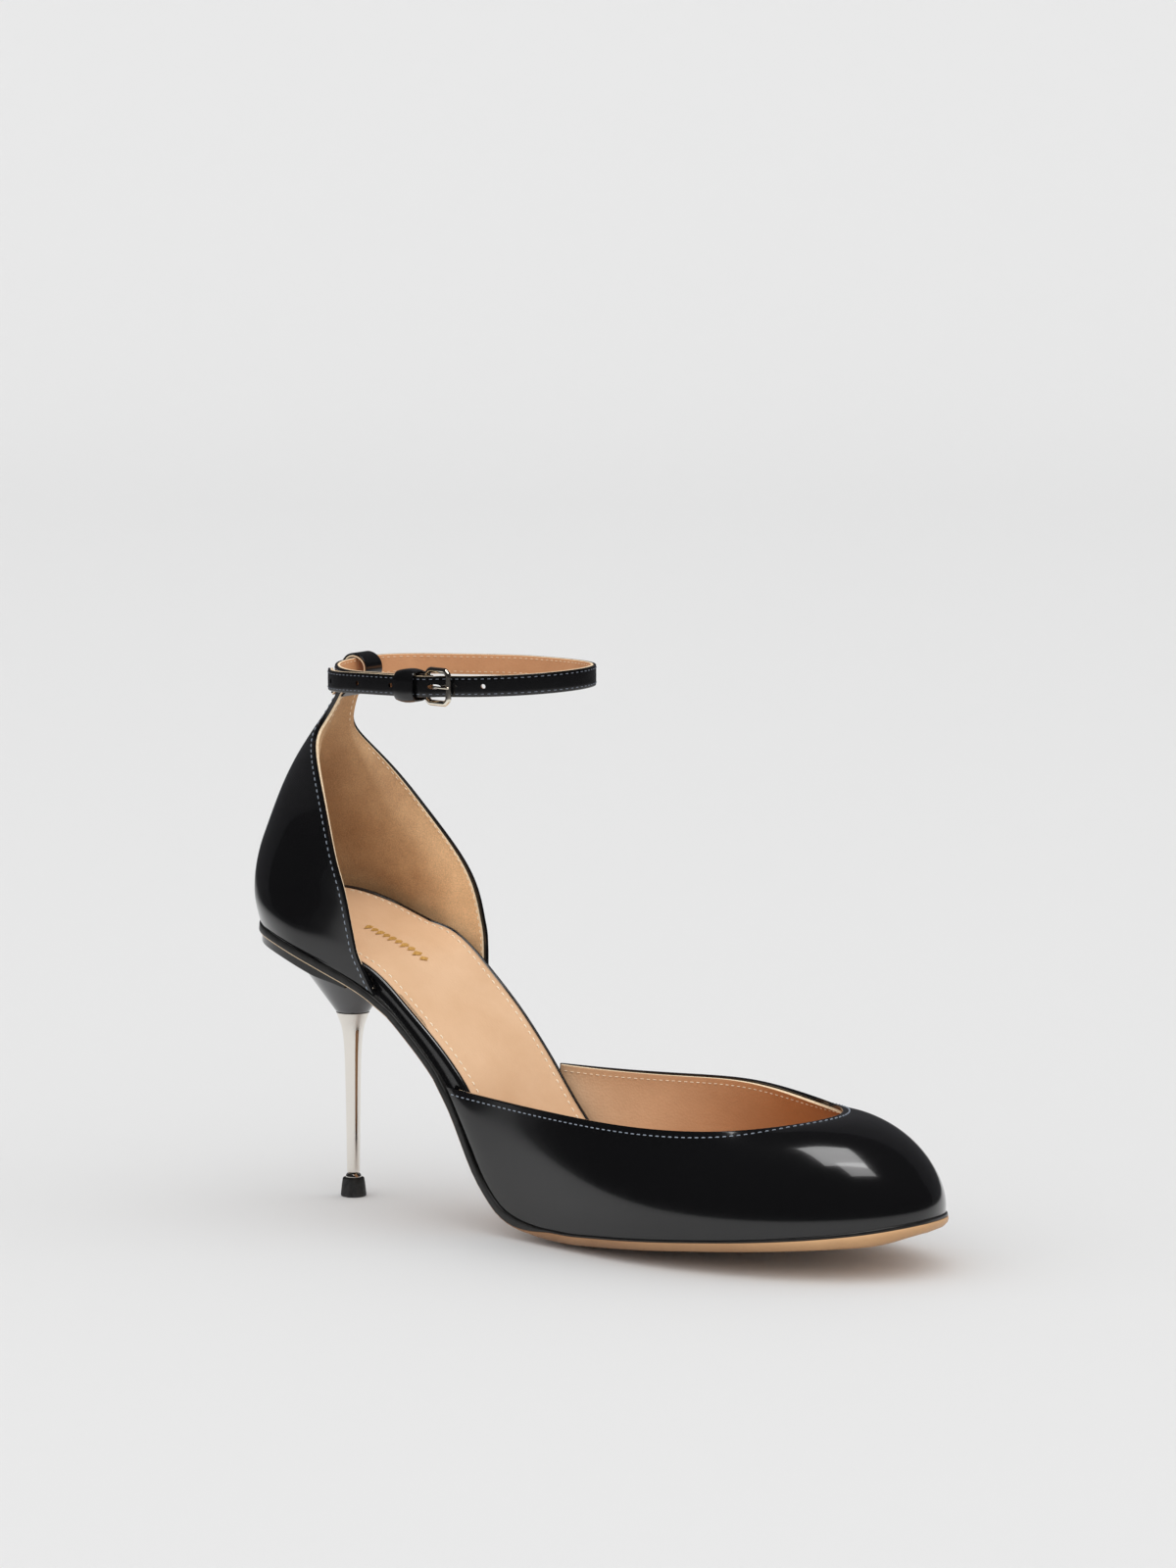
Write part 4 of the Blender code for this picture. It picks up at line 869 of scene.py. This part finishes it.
def shares_at_distance(patch, along_edge, distance, samples):
    """(u, v) pairs that run beside an edge of the patch at a distance. along_edge(t, inset) gives (u, v)."""
    path = []
    for t in samples:
        near, far = along_edge(t, 0.0), along_edge(t, 0.02)
        length = np.linalg.norm(patch.point(*far) - patch.point(*near))
        path.append(along_edge(t, 0.02 * distance / max(length, 1e-6)))
    return path


def seams(name, label, patch, sign, room, along_edge, distances, samples):
    """Stitches beside an edge, on the outer leather and on the lining. sign and room as in leather_pair."""
    outside, inside = (shares_at_distance(patch, along_edge, distance, samples) for distance in distances)
    places = [(patch.point(*at), patch.normal(*at) * -sign) for at in outside]
    stitches(name + "_stitches" + label, places, "thread_blue", 1.3)
    places = []
    for u, v in inside:
        normal = patch.normal(u, v) * sign
        depth = LINING_DEPTH + LINING_THICKNESS + float(room(np.array(u), np.array(v)))
        places.append((patch.point(u, v) + normal * depth, normal))
    stitches(name + "_lining_stitches" + label, places, "thread_cream", 1.3, radius=0.13)


def build_quarter():
    patch = Patch(quarter_wall, 24, 16)

    def room(u, v):
        return HIDDEN_ROOM * fade(u, 0.1) * fade(1 - u, 0.1) * fade(1 - v, 0.3)

    leather_pair("quarter", patch, 1, (121, 91), room, "quarter_outer",
                 ["quarter_lining", "counter_stiffener"], "suede", ((0.006, 0.994), (0.045, 1.0)))
    for side, edge in (("lateral", lambda t, d: (d, t)), ("medial", lambda t, d: (1 - d, t))):
        seams("quarter", "_" + side, patch, 1, room, edge, (1.7, 1.3), np.linspace(0.02, 0.985, 220))


def build_vamp():
    patch = Patch(vamp_wall_maker(), 44, 9)

    def room(u, v):
        near_toe = 1 - fade(np.abs(u - 0.5) - 0.14, 0.1)
        return 0.15 + HIDDEN_ROOM * near_toe * fade(1 - v, 0.4) * fade(v, 0.05)

    leather_pair("vamp", patch, -1, (241, 61), room, "vamp_outer", ["vamp_lining", "toe_puff"], "vamp_lining",
                 ((0.002, 0.998), (0.06, 0.985)))
    seams("vamp", "", patch, -1, room, lambda t, d: (t, 1 - d), (1.9, 2.1), np.linspace(0.004, 0.996, 420))


# ---------------------------------------------------------------- heel

def cad_high_x(node):
    return (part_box(node)[1] * M_TO_MM).x


COLLAR_RADIUS = cad_high_x("heel_pin")
COLLAR_Z = 54.6
BREAST_X = cad_high_x("heel_cover")
HEEL_SEAT_INSET = 1.2
HEEL_SLAB = 2.6
HEEL_RIM_SHARE = 0.86
HEEL_FILLET = 1.6
HEEL_WALL_ROWS = 36


def heel_reach(angle):
    """How far the heel's seat reaches from the pin's axis, found by halving."""
    direction = np.array([math.cos(angle), math.sin(angle)])
    low, high = 1.0, 60.0
    for _ in range(30):
        middle = (low + high) / 2
        x, y = direction * middle
        inside = (SEAT_REAR_X + HEEL_SEAT_INSET < x < BREAST_X
                  and abs(y) < half_width(side_of(y), x) - HEEL_SEAT_INSET)
        low, high = (middle, high) if inside else (low, middle)
    return low


def heel_wall(angle, share):
    radius = mix(COLLAR_RADIUS, heel_reach(angle), min(share / HEEL_RIM_SHARE, 1.0))
    x, y = radius * math.cos(angle), radius * math.sin(angle)
    soffit = below_sole(x, y, 0.35)
    cone = COLLAR_Z + 0.3 + (radius - COLLAR_RADIUS) * 1.4
    slab = soffit - HEEL_SLAB * (1 - 0.55 * ease(2.0, BREAST_X, x))
    low = cone - HEEL_FILLET * math.log(1 + math.exp(-max(min((slab - cone) / HEEL_FILLET, 30), -30)))
    up = max(share - HEEL_RIM_SHARE, 0) / (1 - HEEL_RIM_SHARE)
    return x, y, mix(min(low, soffit - 0.5), soffit, up)


def build_heel():
    shares = np.r_[np.linspace(0, HEEL_RIM_SHARE, 40), np.linspace(HEEL_RIM_SHARE, 1.0, 8)[1:]]
    grid = [[heel_wall(angle, share) for share in shares] for angle in circle(120)]
    item = add_object("heel_block_patent", grid_mesh(grid, closed=True), ["patent_heel", "patent"],
                      "heel_cover")
    for number, face in enumerate(item.data.polygons):
        face.material_index = int(number % (len(shares) - 1) >= HEEL_WALL_ROWS)
    thicken(item, 0.6, -1, edge=0.2)

    spine = smooth_curve([(4.9, 54.6), (4.1, 52.5), (3.35, 50.2), (2.8, 46.6), (2.45, 41.0), (2.28, 34.0),
                          (2.15, 27.0), (2.05, 20.0), (1.98, 13.0), (1.9, 7.3)])
    pin = [(0.0, 66.0), (2.0, 66.0), (2.0, 54.75), (4.75, 54.75), *map(spine, np.linspace(0, 1, 60)),
           (1.75, 7.1), (1.1, 7.1), (1.1, 15.0), (0.0, 15.0)]
    ferrule = [(1.12, 7.0), (1.5, 7.0), (2.1, 6.5), (2.35, 6.0), (2.35, 5.75), (1.12, 5.75), (1.12, 7.0)]
    tip = [(0.0, 1.7), (1.1, 1.7), (1.1, 5.6), (2.7, 5.6), (3.05, 5.45), (3.2, 5.1), (3.45, 3.4), (3.65, 1.6),
           (3.75, 0.6), (3.7, 0.2), (3.5, 0.02), (0.0, 0.02)]
    for name, profile, steps, node, finish in (
            ("heel_pin_polished", pin, 96, "heel_pin", "pin"),
            ("heel_ferrule_polished", ferrule, 48, "heel_ferrule", "pin"),
            ("heel_tip_rubber", tip, 64, "heel_tip", "rubber")):
        add_object(name, lathe_mesh(profile, steps), [finish], node)


# ---------------------------------------------------------------- ankle strap

STRAP_WIDTH = 6.0
STRAP_LAYER = 0.72
STRAP_LAYER_GAP = 0.04       # from the middle line to each layer
RING_REAR_X = 3.7
RING_FRONT_X = 83.3
RING_CENTRE_Y = -1.0
RING_HALF_WIDTH = 26.5
TAIL_LIFT = 3.1
TAIL_REST_LIFT = 2.0
TAIL_END_X = 7.2
RING_REAR_DROP = 1.2
TAIL_DROP = 1.2
BAR_X = 48.6
KEEPER_X = 43.9
FRAME_LENGTH = 8.1
FRAME_HEIGHT = 9.3
RING_HEIGHT = 157.3
LOOP_LEATHER = 0.5
HOLE_X = 52.0
HOLE_PITCH = 13.4
HOLE_RADIUS = 0.7
CREASE_DEGREES = 50


def upright(height):
    return Vector((0, 0, height))


def plan_point(turn):
    """The ring's plan: an oval, a little squarer behind."""
    c, s = math.cos(math.radians(turn)), math.sin(math.radians(turn))
    power = mix(2.0, 2.6, ease(0.0, -0.6, c))
    x, y = (math.copysign(abs(v) ** (2 / power), v) for v in (c, s))
    middle, half_length = (RING_FRONT_X + RING_REAR_X) / 2, (RING_FRONT_X - RING_REAR_X) / 2
    return np.array([middle + half_length * x, RING_CENTRE_Y + RING_HALF_WIDTH * y])


def rear_drop(x):
    """The ring sinks a little towards its loop."""
    return RING_REAR_DROP * (1 - ease(5.0, 48.0, x))


def tail_drop(turn):
    return TAIL_DROP * ease(20.0, 70.0, BAR_TURN - 360 - turn)


def ring_frame(turn, lift=0.0):
    """(point, outwards, along) of the strap's middle line, turn in degrees from the front."""
    point = plan_point(turn)
    along = unit(plan_point(turn + 1.5) - plan_point(turn - 1.5))
    outwards = np.array([along[1], -along[0]])
    angle = math.radians(turn)
    height = RING_HEIGHT + 0.35 * math.cos(angle) + 0.4 * math.sin(angle) + 0.6 * math.cos(2 * angle)
    place = Vector((*(point + outwards * lift), height - rear_drop(point[0])))
    return place, Vector((*outwards, 0)), Vector((*along, 0))


TURNS = np.linspace(0, -180, 1441)
TURN_X = np.array([plan_point(t)[0] for t in TURNS])


def lateral_turn(x):
    return float(np.interp(-x, -TURN_X, TURNS))


BAR_TURN = lateral_turn(BAR_X)


def strap_lift(turn):
    passed = BAR_TURN - 360 - turn
    climb = ease(-10.0, 0.0, passed)
    settle = ease(18.0, 40.0, passed)
    return TAIL_LIFT * climb + (TAIL_REST_LIFT - TAIL_LIFT) * settle


def strap_frame(turn):
    middle, outwards, along = ring_frame(turn, strap_lift(turn))
    return middle - upright(tail_drop(turn)), outwards, along


def strap_section(depth_in, depth_out):
    """Rounded section of one strap layer: (depth, height) points."""
    half, r = STRAP_WIDTH / 2, 0.22
    section = []
    for up, here, there in ((1, depth_in, depth_out), (-1, depth_out, depth_in)):
        section += [(here, up * z) for z in np.linspace(-half + r, half - r, 5)]
        for depth, angles in ((here, (0.5, 1.1)), (there, (1.1, 0.5))):
            inwards = r if depth == depth_in else -r
            section += [(depth + inwards * (1 - math.cos(a)), up * (half - r + r * math.sin(a)))
                        for a in angles]
    return section


def strap_layer(name, depth_in, depth_out, node, finish, crown=0.0):
    rings = []
    for turn in np.linspace(BAR_TURN - 3.2, lateral_turn(TAIL_END_X) - 360, 420):
        middle, outwards, _ = strap_frame(turn)
        rings.append([middle + outwards * (d + math.copysign(crown, d) * (1 - (z / 3)**2)) + upright(z)
                      for d, z in strap_section(depth_in, depth_out)])
    bm = bmesh.new()
    skin(bm, rings)
    mesh = finished_mesh(bm, crease=CREASE_DEGREES)
    for face in mesh.polygons:
        face.material_index = int(finish == "lining" and abs(face.normal.z) > 0.6)
    return add_object(name, mesh, [finish, "cream_edge"], node, "strap")


def punch(items, turn, stretch):
    """Cuts a hole in the items, stretched along the strap. Returns the tool, which the cut still needs."""
    middle, outwards, along = strap_frame(turn)
    bm = bmesh.new()
    bmesh.ops.create_cone(bm, cap_ends=True, segments=24, radius1=HOLE_RADIUS * MM, radius2=HOLE_RADIUS * MM,
                          depth=5 * MM)
    bm.transform(Matrix((along * stretch, upright(1), outwards)).transposed().to_4x4())
    tool = linked_object("punch", finished_mesh(bm, outward=False, smooth=False))
    tool.location = middle * MM
    for item in items:
        boolean = item.modifiers.new("hole", "BOOLEAN")
        boolean.operation = "DIFFERENCE"
        boolean.solver = "EXACT"
        boolean.object = tool
    return tool


def apply_modifiers(item):
    bpy.context.view_layer.update()
    evaluated = item.evaluated_get(bpy.context.evaluated_depsgraph_get())
    mesh = bpy.data.meshes.new_from_object(evaluated)
    item.modifiers.clear()
    item.data = mesh


def build_strap():
    outer = strap_layer("strap_patent", STRAP_LAYER_GAP, STRAP_LAYER, "strap_outer", "patent", 0.08)
    lining = strap_layer("strap_tan", -STRAP_LAYER, -STRAP_LAYER_GAP, "strap_lining", "lining")
    # the second hole, at the buckle, is pulled long
    tools = [punch([outer, lining], lateral_turn(HOLE_X + (1 - number) * HOLE_PITCH) - 360,
                   2.4 if number == 1 else 1.0) for number in range(5)]
    for item in (outer, lining):
        apply_modifiers(item)
        item.data.set_sharp_from_angle(angle=math.radians(CREASE_DEGREES))
    for tool in tools:
        bpy.data.objects.remove(tool)

    turns = np.linspace(BAR_TURN - 4, lateral_turn(TAIL_END_X) - 359, 900)
    for height, label in ((2.15, "upper"), (-2.15, "lower")):
        outside, inside = [], []
        for middle, outwards, _ in map(strap_frame, turns):
            middle = middle + upright(height)
            outside.append((middle + outwards * (STRAP_LAYER + 0.04), outwards))
            inside.append((middle - outwards * STRAP_LAYER, -outwards))
        stitches("strap_stitches_" + label, outside, "thread_dim", 1.2, 1.9, 0.12, 0.06, "strap")
        stitches("strap_lining_stitches_" + label, inside, "thread_tan", radius=0.13, sink=0.06, body="strap")


def build_loop():
    """The tab's leather, carried up and folded forwards over the strap."""
    path = smooth_curve([(-3.4, 148.6), (-1.7, 150.6), (-0.75, 153.0), (-0.6, 155.6), (0.3, 158.4),
                         (2.3, 160.0), (4.6, 160.1), (6.8, 159.0), (8.0, 156.9), (7.6, 154.4), (5.8, 152.7),
                         (3.4, 151.6), (1.3, 150.0), (-0.6, 148.0)])
    half_width_at = smooth_curve([5.0, 4.5, 4.0, 3.9] + [3.8] * 8 + [4.0, 4.4])

    def normal_at(share):
        along = unit(path(min(share + 0.01, 1)) - path(max(share - 0.01, 0)))
        return np.array([-along[1], 0, along[0]])

    rows, inner_rows = [], []
    for share in np.linspace(0, 1, 90):
        (x, z), half = path(share), half_width_at(share)
        rows.append(np.array([(x, y, z) for y in np.linspace(-half, half, 13)]))
        inner_rows.append(rows[-1] - normal_at(share) * (LOOP_LEATHER + 0.02))
    outer = add_object("loop_patent", grid_mesh(rows), ["patent"], "strap_loop")
    thicken(outer, LOOP_LEATHER, 1, edge=0.15)
    inner = add_object("loop_lining", grid_mesh(inner_rows), ["lining", "cream_edge"], None)
    thicken(inner, 0.35, 1, rim_material=1)
    for side, sign in SIDE_SIGN.items():
        places = []
        for share in np.linspace(0.18, 0.8, 80):
            x, z = path(share)
            places.append(((x, 3.0 * sign, z), normal_at(share)))
        stitches("loop_stitches_" + side, places, "thread_blue", radius=0.13, sink=0.02)


def strap_placement(x, lift=0.0):
    middle, outwards, along = ring_frame(lateral_turn(x), lift)
    axes = Matrix((-along, outwards, upright(1))).transposed().to_4x4()
    return Matrix.Translation(middle) @ axes


def rounded_corner_path(corners, radius, steps=5):
    """A closed path through corners with each corner rounded."""
    path = []
    count = len(corners)
    for i, corner in enumerate(corners):
        corner = Vector(corner)
        before = (Vector(corners[i - 1]) - corner).normalized() * radius
        after = (Vector(corners[(i + 1) % count]) - corner).normalized() * radius
        for t in np.linspace(0, 1, steps):
            path.append((corner + before) * (1 - t)**2 + corner * 2 * t * (1 - t) + (corner + after) * t**2)
    return path


def build_buckle():
    placement = strap_placement(BAR_X)
    rail_lift = 1.75
    half, corner, frame_end = FRAME_HEIGHT / 2, 1.1, FRAME_LENGTH
    upper = [(frame_end, half - corner), (frame_end - corner, half), (corner, half), (0, half - corner)]
    outline = [(x, -z) for x, z in reversed(upper)] + upper
    corners = [(-x, rail_lift * x / frame_end, z) for x, z in outline]
    path = [placement @ p for p in rounded_corner_path(corners, 0.5)]
    add_object("buckle_frame_plated", tube_mesh(path, [0.84] * len(path), 16, closed=True), ["buckle"],
               "buckle_frame", "buckle")
    ring = 1.36
    curl = [(-x, y, 0) for x, y in arc(ring, -20, -262, 16)]
    tip_lift = 3.1
    reach = smooth_curve([(-0.2, ring), (-1.5, ring + 0.12), (-4.6, 2.45), (-frame_end - 1.0, tip_lift)])
    prong = curl + [(*reach(s), 0) for s in np.linspace(0.08, 1, 24)]
    radii = [0.36] * (len(prong) - 3) + [0.34, 0.3, 0.22]
    add_object("buckle_prong_plated", tube_mesh([placement @ Vector(p) for p in prong], radii), ["buckle"],
               "buckle_prong", "prong")
    build_chape(placement)


def build_chape(placement):
    """Two tongues of the strap's leather that fold round the bar, above and below the prong."""
    curve = smooth_curve([(5.0, -0.75), (3.0, -0.85), (1.4, -1.25), *arc(1.5, -100, -260, 12), (1.4, 1.3),
                          (3.0, 1.0), (5.0, 0.85)])
    for sign, label in ((1, "upper"), (-1, "lower")):
        rows = [[placement @ Vector((*curve(share), sign * z)) for z in np.linspace(0.75, 2.9, 6)]
                for share in np.linspace(0, 1, 60)]
        item = add_object("chape_" + label, grid_mesh(rows), ["patent"], None, "strap")
        thicken(item, 0.5, 0, edge=0.12)


def build_keeper():
    low, high = -1.35, TAIL_LIFT + 1.1
    placement = strap_placement(KEEPER_X, (low + high) / 2)
    half_depth, half_height = (high - low) / 2 + 0.3, 3.5
    rows = []
    for angle in circle(96):
        c, s = (math.copysign(math.sqrt(abs(v)), v) for v in (math.cos(angle), math.sin(angle)))
        row = []
        for along in np.linspace(-1, 1, 15):
            bulge = 0.5 * (1 - along * along)
            row.append(placement @ Vector((along * 3.2, c * (half_depth + bulge), s * (half_height + bulge))))
        rows.append(row)
    item = add_object("keeper_patent", grid_mesh(rows, closed=True), ["patent"], "strap_keeper",
                      "keeper")
    thicken(item, 0.8, 1, edge=0.3)


# ---------------------------------------------------------------- studio

AZIMUTH = math.radians(36)
ELEVATION = math.radians(7.3)
CAMERA_DISTANCE_M = 2.0138
AIM_RIGHT_M = 0.0688
AIM_UP_M = 0.1208
RIGHT = Vector((math.cos(AZIMUTH), math.sin(AZIMUTH), 0))
AWAY = Vector((-math.sin(AZIMUTH), math.cos(AZIMUTH), 0))


def area_light(name, place, target, size, power):
    data = bpy.data.lights.new(name, "AREA")
    data.shape = "RECTANGLE"
    data.size, data.size_y = size
    data.energy = power
    light = linked_object(name, data)
    light.location = place
    light.rotation_euler = (target - place).to_track_quat("-Z", "Y").to_euler()
    return light


def is_glossy_ray(tree):
    return add_node(tree, "LightPath").outputs["Is Glossy Ray"]


def choose_colour(tree, factor, first, second):
    return add_node(tree, "Mix", {"A": (*first, 1), "B": (*second, 1), "Factor": factor},
                    data_type="RGBA").outputs["Result"]


def floor_colour(tree):
    """Pale to the eye; in reflections it falls off with distance, as the light on a real table does."""
    place = add_node(tree, "NewGeometry").outputs["Position"]
    length = add_node(tree, "VectorMath", {0: place}, operation="LENGTH").outputs["Value"]
    reach = add_node(tree, "MapRange", {"From Min": 0.25, "From Max": 1.1, "Value": length},
                     interpolation_type="SMOOTHSTEP").outputs["Result"]
    both = add_node(tree, "Math", {0: reach, 1: is_glossy_ray(tree)}, operation="MULTIPLY").outputs["Value"]
    return choose_colour(tree, both, (0.80, 0.80, 0.80), (0.06, 0.06, 0.065))


def build_floor():
    """A floor that curves up into a backdrop behind the shoe, as the camera sees it."""
    finish, tree, shader = new_material("floor_pale", (0.80, 0.80, 0.80), 0.85)
    set_inputs(shader, {"Specular IOR Level": 0.1, "Base Color": floor_colour(tree)})
    centre = Vector((0.085, 0.0, 0.0))
    curve = [(2.4 + x, 1.6 + z) for x, z in arc(1.6, -82, 0, 16)]
    profile = [(-9.0, 0.0), (-3.0, 0.0), (0.0, 0.0), (2.4, 0.0), *curve, (4.0, 5.0)]
    rows = [[(centre + AWAY * d + RIGHT * side + upright(z)) * M_TO_MM for d, z in profile]
            for side in np.linspace(-9, 9, 25)]
    floor = linked_object("floor", grid_mesh(rows))
    floor.data.materials.append(finish)
    return floor


def build_studio():
    scene = bpy.context.scene
    scene.view_settings.view_transform = "Standard"
    scene.world = bpy.data.worlds.new("studio")
    scene.world.use_nodes = True
    tree = scene.world.node_tree
    sky = choose_colour(tree, is_glossy_ray(tree), (1.1, 1.1, 1.1), (0.02, 0.02, 0.022))
    set_inputs(tree.nodes["Background"], {"Color": sky, "Strength": 1.0})

    middle = Vector((0.09, 0, 0.06))
    lamps = [area_light("overhead", middle + upright(1.5) - AWAY * 0.28 + RIGHT * 0.1, middle,
                        (0.75, 0.75), 9),
             area_light("toe_side", middle + Vector((0.74, -0.32, 1.5)), middle, (0.55, 0.5), 3.6)]

    # the lamps leave out the floor, which only the world lights
    world_only = bpy.data.collections.new("lit_by_world_only")
    world_only.objects.link(build_floor())
    for lamp in lamps:
        lamp.light_linking.receiver_collection = world_only
    for item in world_only.collection_objects:
        item.light_linking.link_state = "EXCLUDE"


def build_camera():
    forward = AWAY * math.cos(ELEVATION) - upright(math.sin(ELEVATION))
    up = RIGHT.cross(forward)
    data = bpy.data.cameras.new("camera")
    data.lens = 157.5
    data.sensor_width = 36
    data.sensor_fit = "AUTO"
    camera = linked_object("camera", data)
    camera.location = RIGHT * AIM_RIGHT_M + up * AIM_UP_M - forward * CAMERA_DISTANCE_M
    camera.rotation_euler = Matrix((RIGHT, up, -forward)).transposed().to_euler()
    bpy.context.scene.camera = camera


build_outsole()
build_insole()
build_quarter()
build_vamp()
build_heel()
build_strap()
build_loop()
build_buckle()
build_keeper()
build_studio()
build_camera()


def corners(bounds):
    return [[float(c) for c in corner] for corner in bounds]
